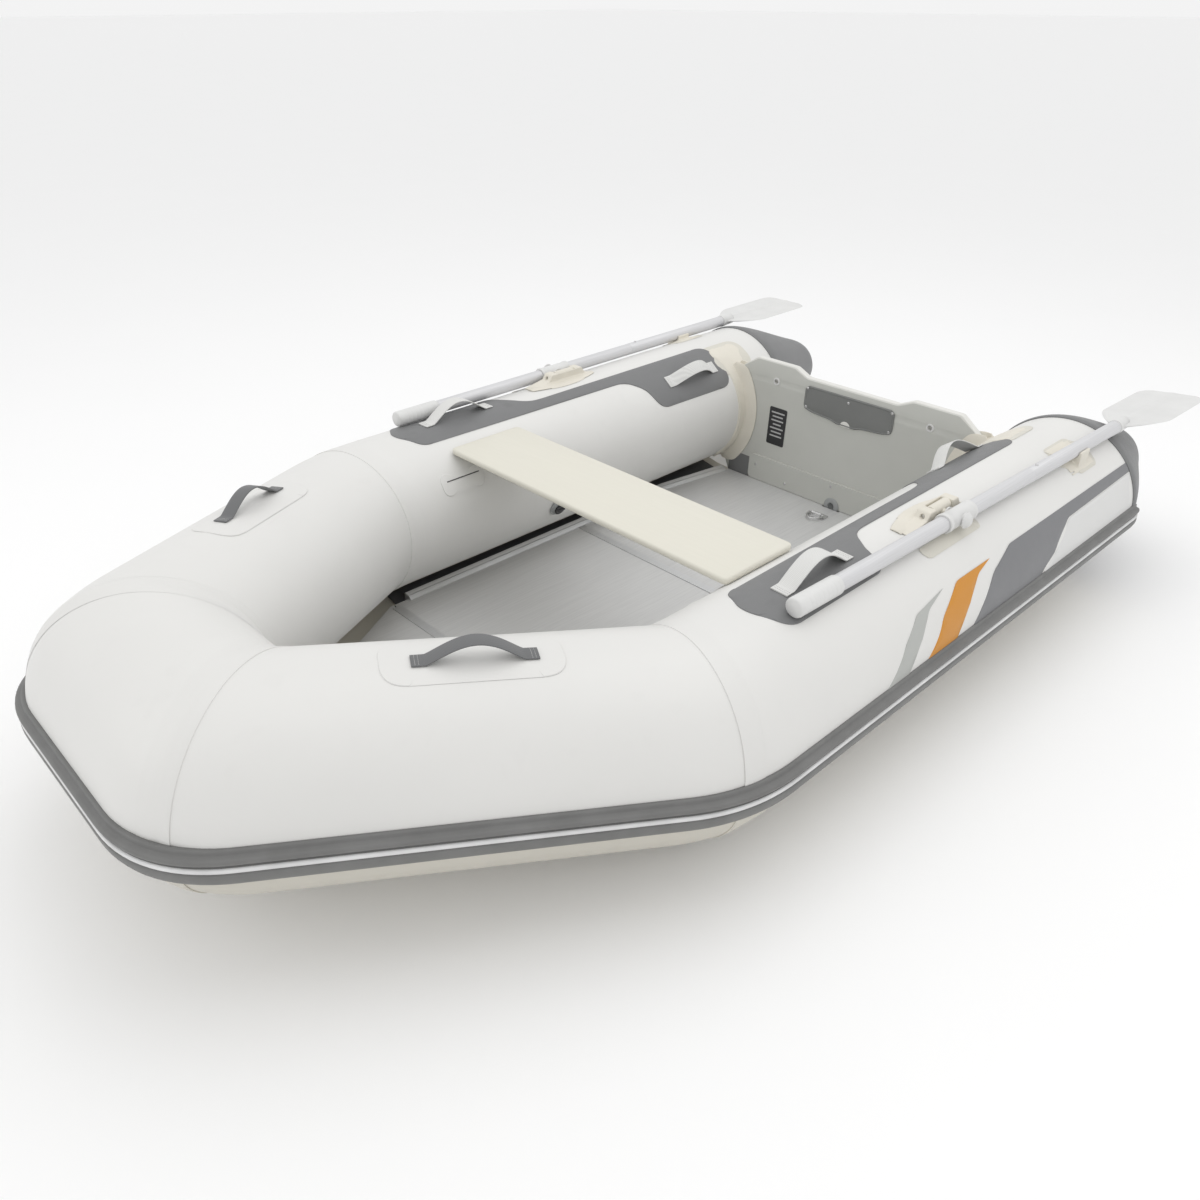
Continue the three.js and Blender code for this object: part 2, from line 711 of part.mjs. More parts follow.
add('floor_ring_base', ringBase(), steel);
add('floor_ring', wireRing(), steel);

// ---------------------------------------------------------------- seat

function seatBoard() {
  const bevel = 6;
  const shape = roundedRectangle(
    SEAT_AFT + bevel, SEAT_FRONT - bevel, -SEAT_HALF_WIDTH + bevel, SEAT_HALF_WIDTH - bevel, 24,
  );
  const g = new THREE.ExtrudeGeometry(shape, {
    depth: SEAT_THICKNESS - 2 * bevel, bevelSize: bevel, bevelThickness: bevel, bevelSegments: 3,
  });
  return g.translate(0, 0, SEAT_BOTTOM + bevel);
}

add('seat_board', seatBoard(), cream);

// ---------------------------------------------------------------- valves

const VALVE_RIM = 9;

function valveBody() {
  return turned([
    [10, -14], [VALVE_BARREL_R, -14], [VALVE_BARREL_R, 0.6], [27, 0.6], [27, 3], [21, VALVE_RIM],
    [14, VALVE_RIM], [14, 3], [10, 3], [10, -14],
  ], valveFoot, valveWay);
}

function valveCap() {
  const [plugR, capR, seat] = [13.6, 18, VALVE_RIM + GAP];
  const profile = [[0, 3.4], [plugR, 3.4], [plugR, seat], [capR, seat], [capR, 13], [0, 15]];
  const cap = turned(profile, valveFoot, valveWay);
  const finger = roundedRectangle(-13, 13, -2, 2, 1.5, 2);
  return join(cap, bar(finger, offset(valveFoot, valveWay, 12), offset(valveFoot, valveWay, 19), X));
}

addPair('valve', valveBody(), grey);
addPair('valve_cap', valveCap(), dark);

// ---------------------------------------------------------------- handles

// A webbing handle: flat feet on the tube and an arched grip between them.
function strapHandle(start, along, out, length, width, rise = HANDLE_RISE) {
  const foot = 24;
  const [lift, thickness] = [GAP + 1.5, 3];
  const span = length - 2 * foot;
  const steps = 10;
  const points = [[0, lift], [foot * 0.8, lift]];
  for (let i = 0; i <= steps; i++) {
    const s = i / steps;
    points.push([foot + span * s, lift + 1 + rise * Math.sin(Math.PI * s) ** 0.8]);
  }
  points.push([length - foot * 0.8, lift], [length, lift]);
  const path = points.map(([s, h]) => offset(start, along, s).addScaledVector(out, h));
  return swept(roundedRectangle(-width / 2, width / 2, 0, thickness, 1, 1), path, out);
}

function sideHandle(x, angle) {
  return strapHandle(roundTube(x, angle, TUBE_R), X, roundTube(0, angle, 1).sub(stern), 216, 38);
}

function bowHandle() {
  const middle = knee.clone().lerp(bowCorner, 0.5);
  const outboard = at(-quarterWay.y, quarterWay.x, 0).normalize();
  const up = quarterWay.clone().cross(outboard).normalize();
  const angle = degrees(87);
  const out = up.clone().multiplyScalar(Math.sin(angle)).addScaledVector(outboard, Math.cos(angle));
  const length = 208;
  const start = offset(offset(middle, quarterWay, -length / 2), out, TUBE_R);
  return strapHandle(start, quarterWay, out, length, 30, 34);
}

addPair('handle_fore', sideHandle(1075, 88), webbing);
addPair('handle_aft', sideHandle(284, 128), webbing);
addPair('handle_bow', bowHandle(), grey);

// ---------------------------------------------------------------- oars

const oarWay = OAR_GRIP_END.clone().sub(OAR_FERRULE).normalize();
const oarSide = Z.clone().cross(oarWay).normalize();
const oarUp = oarWay.clone().cross(oarSide);
const oarBasis = new THREE.Matrix4().makeBasis(oarWay, oarSide, oarUp).setPosition(OAR_FERRULE);
const collarAt = (LOCK_X - OAR_FERRULE.x) / oarWay.x; // distance of the collar's middle from the ferrule
const BUTTON_AT = 425;

// A turned piece on the oar's axis, with distances measured forward from the ferrule.
function onOar(profile, sides = 16) {
  const g = turned(profile, at(0, 0, 0), X, sides);
  return g.applyMatrix4(oarBasis);
}

function oarPoint(distance, side, up) {
  return at(distance, side, up).applyMatrix4(oarBasis);
}

const collarCentre = oarPoint(collarAt, 0, 0);
const stubHole = rod(STUB_R + GAP, oarPoint(collarAt, -40, 0), oarPoint(collarAt, 40, 0), 12);
const buttonHole = rod(3.9, oarPoint(BUTTON_AT, 0, 8), oarPoint(BUTTON_AT, 0, 30), 12);

const SLEEVE_END = 455; // where the two halves of the shaft meet
const insertR = OAR_R - OAR_WALL - GAP;

function shaftFore() {
  const end = OAR_GRIP_END.distanceTo(OAR_FERRULE) - 6;
  const inside = insertR - OAR_WALL;
  const start = SLEEVE_END - 70;
  return cut(onOar([
    [inside, start], [insertR, start], [insertR, SLEEVE_END], [OAR_R, SLEEVE_END], [OAR_R, end],
    [inside, end], [inside, start],
  ]), stubHole, buttonHole);
}

function shaftAft() {
  const inside = OAR_R - OAR_WALL;
  const end = SLEEVE_END - GAP;
  return cut(onOar([[inside, 0], [OAR_R, 0], [OAR_R, end], [inside, end], [inside, 0]]), buttonHole);
}

function oarGrip() {
  const length = OAR_GRIP_END.distanceTo(OAR_FERRULE);
  const bore = OAR_R + GAP;
  return onOar([
    [bore, length - 128], [OAR_R + 2, length - 128], [OAR_R + 3, length - 120], [OAR_R + 3, length - 8],
    [OAR_R - 1, length], [0, length], [0, length - 4], [bore, length - 4], [bore, length - 128],
  ]);
}

// A spring button locks the two halves of the shaft together.
function oarButton() {
  const top = OAR_R + 3;
  const shape = [[0, 9], [6, 9], [6, 11], [3.5, 11], [3.5, top - 1], [2.4, top], [0, top]];
  const g = turned(shape, at(0, 0, 0), Z, 12);
  return g.translate(BUTTON_AT, 0, 0).applyMatrix4(oarBasis);
}

function oarCollar() {
  const half = COLLAR_LENGTH / 2;
  const bore = OAR_R + 0.5;
  const [start, end] = [collarAt - half, collarAt + half];
  const sleeve = onOar([
    [bore, start], [COLLAR_R - 1.5, start], [COLLAR_R, start + 2], [COLLAR_R, end - 2],
    [COLLAR_R - 1.5, end], [bore, end], [bore, start],
  ]);
  const boss = rod(15, oarPoint(collarAt, -COLLAR_R - 1, 0), oarPoint(collarAt, COLLAR_R + 1, 0), 16);
  const shaft = rod(bore, oarPoint(collarAt - 80, 0, 0), oarPoint(collarAt + 80, 0, 0), 16);
  return cut(join(sleeve, boss), shaft, stubHole);
}

// The blade: a neck that plugs into the shaft, spreading into a thin ribbed paddle.
function oarBlade(roll) {
  const plugR = 13.5;
  const profile = [[0, -60], [OAR_R, -60], [OAR_R, -GAP], [plugR, -GAP], [plugR, 70], [0, 70]];
  const neck = turned(profile, at(0, 0, 0), X);
  const paddle = bent(10, 6, (u, v, w) => {
    const s = u;
    const spread = Math.sin((Math.PI / 2) * Math.min(s / 0.68, 1)) ** 1.3;
    const close = s > 0.8 ? Math.sqrt(1 - ((s - 0.8) / 0.2) ** 2 * 0.72) : 1;
    const half = THREE.MathUtils.lerp(12, BLADE_HALF_WIDTH, spread) * close;
    const across = 2 * v - 1;
    const thick = 2.2 + 6 * Math.exp(-((across * half / 11) ** 2)) * (1 - 0.85 * s);
    return at(-30 - (BLADE_LENGTH - 30) * s, across * half, (w - 0.5) * 2 * thick);
  });
  return join(neck, paddle).rotateX(roll).applyMatrix4(oarBasis);
}

addPair('oar_shaft_fore', shaftFore(), aluminium);
addPair('oar_shaft_aft', shaftAft(), aluminium);
addPair('oar_grip', oarGrip(), plastic);
addPair('oar_button', oarButton(), steel);
addPair('oar_collar', oarCollar(), plastic);
add('oar_blade_port', oarBlade(BLADE_ROLL), plastic);
add('oar_blade_starboard', mirrored(oarBlade(-BLADE_ROLL)), plastic);

// ---------------------------------------------------------------- oarlocks and oar holders

const lockAft = LOCK_X - LOCK_BAY / 2;
const lockFront = LOCK_X + LOCK_BAY / 2;
const pinAt = (x) => at(x, PIN_Y, PIN_Z);

// The base: a fish-shaped foot on the tube with a ridge that carries two lugs.
function oarlockBase() {
  const [tipAft, tipFront, middleAngle] = [LOCK_X - 98, LOCK_X + 140, 84];
  const foot = bent(12, 6, (u, v, w) => {
    const half = 4 + 7.5 * Math.sin(Math.PI * u) ** 0.9;
    const edge = Math.min(1, 3 * Math.min(v, 1 - v) + 0.2);
    const [x, angle] = [THREE.MathUtils.lerp(tipAft, tipFront, u), middleAngle + half * (2 * v - 1)];
    return roundTube(x, angle, TUBE_R - 2 + w * (2 + 4 * edge));
  });
  const ridgeTop = PIN_Z + 12;
  const low = TUBE_R - 30;
  const lug = 26;
  const side = polygon([
    [tipAft + 4, low], [tipFront - 6, low], [tipFront - 6, TUBE_R - 2], [lockFront + lug + 8, PIN_Z - 4],
    [lockFront + lug, ridgeTop - 4], [lockFront + lug - 4, ridgeTop], [lockAft - lug + 4, ridgeTop],
    [lockAft - lug, ridgeTop - 4], [lockAft - lug - 8, PIN_Z - 4], [tipAft + 4, TUBE_R - 2],
  ]);
  const ridge = new THREE.ExtrudeGeometry(side, { depth: 32, bevelEnabled: false });
  ridge.rotateX(Math.PI / 2).translate(0, PIN_Y + 15, 0);
  const bay = rod(KNUCKLE_R + 0.7, pinAt(lockAft), pinAt(lockFront), 32);
  const bayTop = box(lockAft, lockFront, PIN_Y - KNUCKLE_R - 0.7, PIN_Y + 60, PIN_Z, PIN_Z + 40);
  const bayOut = box(lockAft, lockFront, PIN_Y, PIN_Y + 60, PIN_Z - 15, PIN_Z + 1);
  const bore = rod(PIN_R + 0.1, pinAt(lockAft - 18), pinAt(lockFront + lug + 10));
  const clearance = bar(roundPolygon(TUBE_R + GAP, TUBE_SIDES), at(600, TUBE_Y, 0), at(1000, TUBE_Y, 0));
  return cut(join(foot, ridge), bay, bayTop, bayOut, bore, clearance);
}

function oarlockPin() {
  return rod(PIN_R, pinAt(lockAft - 17), pinAt(lockFront + 25));
}

// The block turns on the pin and carries the stub that the oar's collar swings on.
function oarlockBlock() {
  const knuckle = rod(KNUCKLE_R, pinAt(lockAft + 0.5), pinAt(lockFront - 0.5), 28);
  const root = oarPoint(collarAt, PIN_Y - collarCentre.y, 0);
  const shoulder = rod(8, root, oarPoint(collarAt, -COLLAR_R - 1.6, 0));
  const stub = rod(STUB_R, root, oarPoint(collarAt, COLLAR_R + 12, 0));
  return cut(join(knuckle, shoulder, stub), rod(PIN_R + 0.1, pinAt(lockAft), pinAt(lockFront)));
}

// The cap is pressed over the stub's end and keeps the collar on.
function oarlockCap() {
  const start = oarPoint(collarAt, COLLAR_R + 1.4, 0);
  const bore = STUB_R + GAP;
  const profile = [[bore, 0], [18, 0], [18, 3], [13, 8], [0, 13.5], [0, 11], [bore, 11], [bore, 0]];
  return turned(profile, start, oarSide);
}

// The holder: a foot on the tube and a cradle, open upward, for the oar's shaft.
function oarHolder() {
  const distance = (HOLDER_X - OAR_FERRULE.x) / oarWay.x;
  const centre = oarPoint(distance, 0, 0);
  const angle = THREE.MathUtils.radToDeg(Math.atan2(centre.z, centre.y - TUBE_Y));
  const foot = bent(4, 8, (u, v, w) => {
    const edge = Math.min(1, 3 * Math.min(v, 1 - v, u, 1 - u) + 0.3);
    return roundTube(HOLDER_X - 62 + 124 * u, angle - 13 + 26 * v, TUBE_R - 2 + w * (2 + 3.5 * edge));
  });
  const post = box(HOLDER_X - 24, HOLDER_X + 24, centre.y - 24, centre.y + 24, centre.z - 45, centre.z + 3);
  const channel = rod(OAR_R + 0.6, oarPoint(distance - 60, 0, 0), oarPoint(distance + 60, 0, 0), 28);
  const gape = OAR_R + 0.9;
  const mouth = box(HOLDER_X - 60, HOLDER_X + 60, centre.y - gape, centre.y + gape, centre.z, centre.z + 40);
  const clearance = bar(roundPolygon(TUBE_R + GAP, TUBE_SIDES), at(50, TUBE_Y, 0), at(400, TUBE_Y, 0));
  return cut(join(foot, post), channel, mouth, clearance);
}

addPair('oarlock_base', oarlockBase(), ivory);
addPair('oarlock_pin', oarlockPin(), steel);
addPair('oarlock_block', oarlockBlock(), ivory);
addPair('oarlock_cap', oarlockCap(), ivory);
addPair('oar_holder', oarHolder(), ivory);

const dinghy = new THREE.Group();
dinghy.name = 'dinghy';
dinghy.add(boat);

export default dinghy;
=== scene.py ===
"""The looks of an inflatable dinghy, built round its CAD frame. Metres: +X forward, +Y port, +Z up."""

import math

import bmesh
import bpy
from mathutils import Matrix, Vector, geometry, noise


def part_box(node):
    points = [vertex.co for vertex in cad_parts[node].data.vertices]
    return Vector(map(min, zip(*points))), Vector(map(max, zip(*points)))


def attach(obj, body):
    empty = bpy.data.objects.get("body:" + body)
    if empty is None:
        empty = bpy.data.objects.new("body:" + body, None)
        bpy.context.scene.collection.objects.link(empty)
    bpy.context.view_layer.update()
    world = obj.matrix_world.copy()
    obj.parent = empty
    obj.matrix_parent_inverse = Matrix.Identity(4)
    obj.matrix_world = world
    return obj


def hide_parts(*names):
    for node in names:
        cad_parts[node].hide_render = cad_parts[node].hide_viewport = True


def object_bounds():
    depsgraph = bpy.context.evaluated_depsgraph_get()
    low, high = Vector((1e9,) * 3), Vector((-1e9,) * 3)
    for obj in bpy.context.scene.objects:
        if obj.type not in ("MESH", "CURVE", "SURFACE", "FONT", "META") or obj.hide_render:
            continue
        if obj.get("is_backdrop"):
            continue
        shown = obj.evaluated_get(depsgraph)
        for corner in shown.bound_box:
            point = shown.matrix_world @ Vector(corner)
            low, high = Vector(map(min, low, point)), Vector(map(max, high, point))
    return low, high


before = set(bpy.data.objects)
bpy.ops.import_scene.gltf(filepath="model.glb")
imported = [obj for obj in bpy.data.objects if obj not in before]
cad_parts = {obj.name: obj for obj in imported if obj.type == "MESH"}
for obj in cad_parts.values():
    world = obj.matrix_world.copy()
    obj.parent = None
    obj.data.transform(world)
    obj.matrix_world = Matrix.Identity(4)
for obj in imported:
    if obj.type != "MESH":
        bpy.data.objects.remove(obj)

cad_low, cad_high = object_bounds()

MM = 0.001
X, Y, Z = Vector((1, 0, 0)), Vector((0, 1, 0)), Vector((0, 0, 1))
SIDES = (("port", 1), ("starboard", -1))

# ---------------------------------------------------------------- places, from the frame

side_low, side_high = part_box("side_tube_port")
bow_low, bow_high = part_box("bow_tube")
board_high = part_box("transom_board")[1]
seat_low, seat_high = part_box("seat_board")

TUBE_R = (side_high.y - side_low.y) / 2
TUBE_Y = (side_high.y + side_low.y) / 2
TUBE_Z = (side_high.z + side_low.z) / 2
STERN = Vector((side_low.x, TUBE_Y, TUBE_Z))
SIDE_LENGTH = 1.531
BOW_HALF = 0.172  # half the length of the bow tube, along its centre line
KNEE = STERN + X * SIDE_LENGTH  # where a side tube meets its quarter tube
BOW_CORNER = Vector((bow_high.x - TUBE_R, BOW_HALF, (bow_low.z + bow_high.z) / 2))
OTHER_BOW_CORNER = Vector((BOW_CORNER.x, -BOW_CORNER.y, BOW_CORNER.z))
KEEL_Z = cad_low.z

# The lengths over which the tubes round off at a corner.
KNEE_LEG = 0.11
BOW_LEG = 0.13
RAIL_LOW_ANGLE = -12  # degrees below outboard where the rail ends and the bottom's fabric begins
BOTTOM_END_ANGLE = 231
STEP_ANGLE = 3

TRANSOM_X = STERN.x + 0.202
TRANSOM_THICKNESS = 0.025
TRANSOM_RAKE = 0.033
MOTOR_CUT = 0.169  # heights on the transom are above the side tubes' centre lines
TRANSOM_TOP = 0.190

# ---------------------------------------------------------------- materials


class Look:
    """A procedural material: one Principled shader fed by patterns in the object's own space."""

    def __init__(self, name, roughness, metallic=0.0, coat=0.0, sheen=0.0):
        self.material = bpy.data.materials.new(name)
        self.material.use_nodes = True
        self.nodes = self.material.node_tree.nodes
        self.links = self.material.node_tree.links
        self.shader = self.nodes["Principled BSDF"]
        self.shader.inputs["Roughness"].default_value = roughness
        self.shader.inputs["Metallic"].default_value = metallic
        self.shader.inputs["Coat Weight"].default_value = coat
        self.shader.inputs["Sheen Weight"].default_value = sheen
        self.place = self.nodes.new("ShaderNodeTexCoord").outputs["Object"]
        self.height = None

    def stretched(self, stretch):
        mapping = self.nodes.new("ShaderNodeMapping")
        mapping.inputs["Scale"].default_value = stretch
        self.links.new(self.place, mapping.inputs["Vector"])
        return mapping.outputs["Vector"]

    def noise(self, scale, detail=2.0, stretch=(1, 1, 1)):
        node = self.nodes.new("ShaderNodeTexNoise")
        node.inputs["Scale"].default_value = scale
        node.inputs["Detail"].default_value = detail
        self.links.new(self.stretched(stretch), node.inputs["Vector"])
        return node.outputs["Fac"]

    def wave(self, pitch, direction):
        """Ridges a pitch apart, in metres, across one axis."""
        node = self.nodes.new("ShaderNodeTexWave")
        node.bands_direction = direction
        node.inputs["Scale"].default_value = math.pi / (10 * pitch)
        self.links.new(self.place, node.inputs["Vector"])
        return node.outputs["Fac"]

    def math(self, operation, a, b):
        node = self.nodes.new("ShaderNodeMath")
        node.operation = operation
        for socket, value in zip(node.inputs, (a, b)):
            if isinstance(value, bpy.types.NodeSocket):
                self.links.new(value, socket)
            else:
                socket.default_value = value
        return node.outputs[0]

    def ramp(self, source, low, high, first, last):
        """A colour that runs from first to last as source goes from low to high."""
        node = self.nodes.new("ShaderNodeValToRGB")
        ends = node.color_ramp.elements
        ends[0].position, ends[0].color = low, (*first, 1)
        ends[1].position, ends[1].color = high, (*last, 1)
        self.links.new(source, node.inputs["Fac"])
        return node.outputs["Color"]

    def mixed(self, factor, first, second):
        node = self.nodes.new("ShaderNodeMix")
        node.data_type = "RGBA"
        self.links.new(factor, node.inputs[0])
        for socket, value in ((node.inputs[6], first), (node.inputs[7], second)):
            if isinstance(value, bpy.types.NodeSocket):
                self.links.new(value, socket)
            else:
                socket.default_value = (*value, 1)
        return node.outputs[2]

    def colour(self, socket):
        self.links.new(socket, self.shader.inputs["Base Color"])
        return self

    def rough(self, source, low, high):
        node = self.nodes.new("ShaderNodeMapRange")
        node.inputs["To Min"].default_value = low
        node.inputs["To Max"].default_value = high
        self.links.new(source, node.inputs["Value"])
        self.links.new(node.outputs["Result"], self.shader.inputs["Roughness"])
        return self

    def bump(self, source, depth, strength=1.0):
        """Adds a bump whose full height is depth, in metres."""
        node = self.nodes.new("ShaderNodeBump")
        node.inputs["Distance"].default_value = depth
        node.inputs["Strength"].default_value = strength
        self.links.new(source, node.inputs["Height"])
        if self.height:
            self.links.new(self.height, node.inputs["Normal"])
        self.height = node.outputs["Normal"]
        self.links.new(self.height, self.shader.inputs["Normal"])
        return self


THREAD_PITCH = 0.0011
RIB_PITCH, TWILL_PITCH = 0.0022, 0.0016


def scaled(colour, factor):
    return tuple(c * factor for c in colour)


def coated_fabric(name, colour, roughness=0.42, weave=0.00006, dirt=0.985):
    """PVC-coated polyester: a faint weave under the coat, uneven gloss and handling marks."""
    look = Look(name, roughness, coat=0.04)
    cloud = look.noise(3.5, 4)
    marks = look.noise(22, 6, (1, 1, 0.5))
    base = look.ramp(cloud, 0.3, 0.7, scaled(colour, 0.985), scaled(colour, 1.015))
    look.colour(look.mixed(look.ramp(marks, 0.6, 0.78, (0, 0, 0), (1, 1, 1)), base, scaled(colour, dirt)))
    look.rough(look.noise(40, 3), roughness - 0.07, roughness + 0.08)
    threads = look.math("MAXIMUM", look.wave(THREAD_PITCH, "X"), look.wave(THREAD_PITCH, "Z"))
    look.bump(threads, weave, 0.5)
    look.bump(look.noise(420, 3), weave * 1.5, 0.5)
    look.bump(look.noise(9, 2), 0.0012, 0.6)
    return look.material


def moulded_plastic(name, colour, roughness, grain=0.00005, coat=0.0, shade=0.94):
    look = Look(name, roughness, coat=coat)
    look.colour(look.ramp(look.noise(14, 5), 0.35, 0.7, scaled(colour, shade), colour))
    look.rough(look.noise(60, 3), roughness - 0.06, roughness + 0.08)
    look.bump(look.noise(700, 3), grain, 0.6)
    look.bump(look.noise(30, 2), grain * 6, 0.4)
    return look.material


def aluminium(name, colour, roughness, stretch, metallic=0.85):
    """Anodised sheet or extrusion with drawing marks along one axis."""
    look = Look(name, roughness, metallic=metallic)
    streaks = look.noise(60, 4, stretch)
    look.colour(look.ramp(streaks, 0.3, 0.7, scaled(colour, 0.94), scaled(colour, 1.04)))
    look.rough(look.noise(12, 4), roughness - 0.06, roughness + 0.1)
    look.bump(streaks, 0.00004, 0.5)
    return look.material


def painted_board(name, colour, roughness, grain_stretch):
    """Plywood under paint: long soft grain and orange peel."""
    look = Look(name, roughness, coat=0.05)
    grain = look.noise(16, 5, grain_stretch)
    look.colour(look.ramp(grain, 0.3, 0.72, scaled(colour, 0.98), colour))
    look.rough(look.noise(45, 3), roughness - 0.07, roughness + 0.1)
    look.bump(grain, 0.00025, 0.5)
    look.bump(look.noise(500, 2), 0.00006, 0.5)
    return look.material


def webbing(name, colour, along="X"):
    """Woven strap: ribs across it, a twill within them and a slight nap."""
    look = Look(name, 0.8, sheen=0.15)
    ribs = look.wave(RIB_PITCH, along)
    twill = look.math("MULTIPLY", ribs, look.wave(TWILL_PITCH, "DIAGONAL"))
    look.colour(look.ramp(twill, 0.0, 0.9, scaled(colour, 0.82), colour))
    look.bump(ribs, 0.0003, 0.6)
    look.bump(look.noise(900, 2), 0.0001, 0.5)
    return look.material


def rubber(name, colour):
    look = Look(name, 0.5)
    look.colour(look.ramp(look.noise(18, 6), 0.35, 0.75, scaled(colour, 0.92), scaled(colour, 1.1)))
    look.rough(look.noise(50, 4), 0.42, 0.6)
    look.bump(look.noise(600, 3), 0.00006, 0.6)
    return look.material


WHITE = (0.735, 0.73, 0.71)
white_fabric = coated_fabric("white_fabric", WHITE)
patch_fabric = coated_fabric("patch_fabric", scaled(WHITE, 0.99), 0.45)
beige_fabric = coated_fabric("beige_fabric", (0.60, 0.575, 0.51), 0.5, 0.00012, 0.94)
grey_fabric = coated_fabric("grey_fabric", (0.178, 0.18, 0.182), 0.5, 0.00014, 0.92)
panel_grey = coated_fabric("panel_grey", (0.185, 0.187, 0.195), 0.42)
panel_light = coated_fabric("panel_light", (0.44, 0.45, 0.43), 0.42)
panel_orange = coated_fabric("panel_orange", (0.60, 0.25, 0.02), 0.42)
panel_white = coated_fabric("panel_white", (0.68, 0.68, 0.67), 0.4)
rail_rubber = rubber("rail_rubber", (0.17, 0.17, 0.166))
stripe_rubber = rubber("stripe_rubber", (0.72, 0.72, 0.72))
ivory = moulded_plastic("ivory_plastic", (0.74, 0.705, 0.62), 0.42)
glue_film = moulded_plastic("glue_film", (0.66, 0.64, 0.57), 0.35)
white_plastic = moulded_plastic("white_plastic", (0.71, 0.71, 0.70), 0.34, coat=0.08)
grey_plastic = moulded_plastic("grey_plastic", (0.36, 0.37, 0.37), 0.4)
# This near-black plastic also colours the sheet on the seat strap's slit, which is painted shade.
dark_plastic = moulded_plastic("dark_plastic", (0.03, 0.03, 0.032), 0.45)
pad_plastic = moulded_plastic("pad_plastic", (0.20, 0.205, 0.20), 0.55, 0.00015)
label_print = moulded_plastic("label_print", (0.5, 0.5, 0.5), 0.4)
transom_skin = moulded_plastic("transom_skin", (0.56, 0.565, 0.53), 0.48, 0.00012, shade=0.975)
transom_edge = moulded_plastic("transom_edge", (0.74, 0.735, 0.70), 0.45)
floor_metal = aluminium("floor_metal", (0.64, 0.64, 0.635), 0.42, (0.15, 6, 6), 0.3)
profile_metal = aluminium("profile_metal", (0.66, 0.665, 0.67), 0.36, (0.1, 9, 9), 0.6)
shaft_metal = aluminium("shaft_metal", (0.66, 0.66, 0.67), 0.42, (0.1, 8, 8), 0.35)
steel = aluminium("stainless_steel", (0.62, 0.62, 0.62), 0.22, (2, 2, 2))
seat_paint = painted_board("seat_paint", (0.715, 0.695, 0.61), 0.45, (9, 0.6, 9))
white_webbing = webbing("white_webbing", (0.78, 0.78, 0.76))
grey_webbing = webbing("grey_webbing", (0.17, 0.173, 0.176))
# The keel's dark fabric also colours the sheet in the floor gap beside each stringer, which is painted
# shade.
keel_fabric = coated_fabric("keel_fabric", (0.09, 0.09, 0.095))

# ---------------------------------------------------------------- making pieces


class Form:
    """Points and faces, with the number of the look that each face takes."""

    def __init__(self, points=(), faces=(), marks=None):
        self.points = [Vector(p) for p in points]
        self.faces = [list(f) for f in faces]
        self.marks = list(marks) if marks else [0] * len(self.faces)

    def add(self, other, mark=None):
        start = len(self.points)
        self.points += other.points
        self.faces += [[i + start for i in face] for face in other.faces]
        self.marks += other.marks if mark is None else [mark] * len(other.faces)
        return self

    def moved(self, matrix):
        return Form([matrix @ p for p in self.points], self.faces, self.marks)

    def mirrored(self):
        flip = Matrix.Scale(-1, 4, Y)
        return Form([flip @ p for p in self.points], [face[::-1] for face in self.faces], self.marks)


def grid(rows, columns, place, capped=True, mark=None):
    """A skin through place(row, column), whose last column joins its first. Capped closes its ends."""
    points = [place(i, j) for i in range(rows) for j in range(columns)]
    faces, marks = [], []
    for i in range(rows - 1):
        for j in range(columns):
            k = (j + 1) % columns
            faces.append([i * columns + j, i * columns + k, (i + 1) * columns + k, (i + 1) * columns + j])
            marks.append(mark(i, j) if mark else 0)
    if capped:
        faces.append(list(range(columns))[::-1])
        faces.append([(rows - 1) * columns + j for j in range(columns)])
        marks += [0, 0]
    return Form(points, faces, marks)


def sweep(section, path, frames):
    """A closed section of (side, up) points carried along a path; frames gives (side, up) at each point."""
    def place(i, j):
        side, up = frames(i)
        across, height = section[j]
        return path[i] + side * across + up * height
    return grid(len(path), len(section), place)


def bead(path, radius, up, sides, squash=1.0):
    """A round bead laid along a closed path."""
    count = len(path)

    def place(i, j):
        i %= count
        way = (path[(i + 1) % count] - path[i - 1]).normalized()
        side = way.cross(up).normalized()
        turn = 2 * math.pi * j / sides
        return path[i] + side * radius * math.cos(turn) + up * radius * math.sin(turn) * squash
    return grid(count + 1, sides, place, capped=False)


def tangents(path):
    ways = []
    for i in range(len(path)):
        ways.append((path[min(i + 1, len(path) - 1)] - path[max(i - 1, 0)]).normalized())
    return ways


def turned(profile, start, axis, sides=48):
    """A turned form: the profile's points are (radius, distance), first and last on the axis or joined."""
    way = Vector(axis).normalized()
    side = way.orthogonal().normalized()
    up = way.cross(side)
    hollow = profile[0] == profile[-1]
    rings = profile[:-1] if hollow else profile

    def place(i, j):
        radius, distance = rings[i % len(rings)]
        turn = 2 * math.pi * j / sides
        spoke = side * math.cos(turn) + up * math.sin(turn)
        return start + way * distance + spoke * max(radius, 1e-5)
    return grid(len(rings) + hollow, sides, place, capped=not hollow)


def rounded(points, radius, steps=5):
    """A closed outline with its corners rounded. A point may carry its own radius as a third number."""
    result = []
    for i, entry in enumerate(points):
        here = Vector(entry[:2])
        before = Vector(points[i - 1][:2]) - here
        after = Vector(points[(i + 1) % len(points)][:2]) - here
        own = entry[2] if len(entry) > 2 else radius
        angle = before.angle(after)
        leg = min(own / math.tan(angle / 2), 0.49 * before.length, 0.49 * after.length) if own else 0
        if leg < 1e-5:
            result.append(here)
            continue
        a, b = here + before.normalized() * leg, here + after.normalized() * leg
        for k in range(steps + 1):
            t = k / steps
            result.append(a * (1 - t) ** 2 + here * 2 * t * (1 - t) + b * t ** 2)
    return result


def rectangle(x0, x1, y0, y1, radius, steps=6):
    return rounded([(x0, y0), (x1, y0), (x1, y1), (x0, y1)], radius, steps)


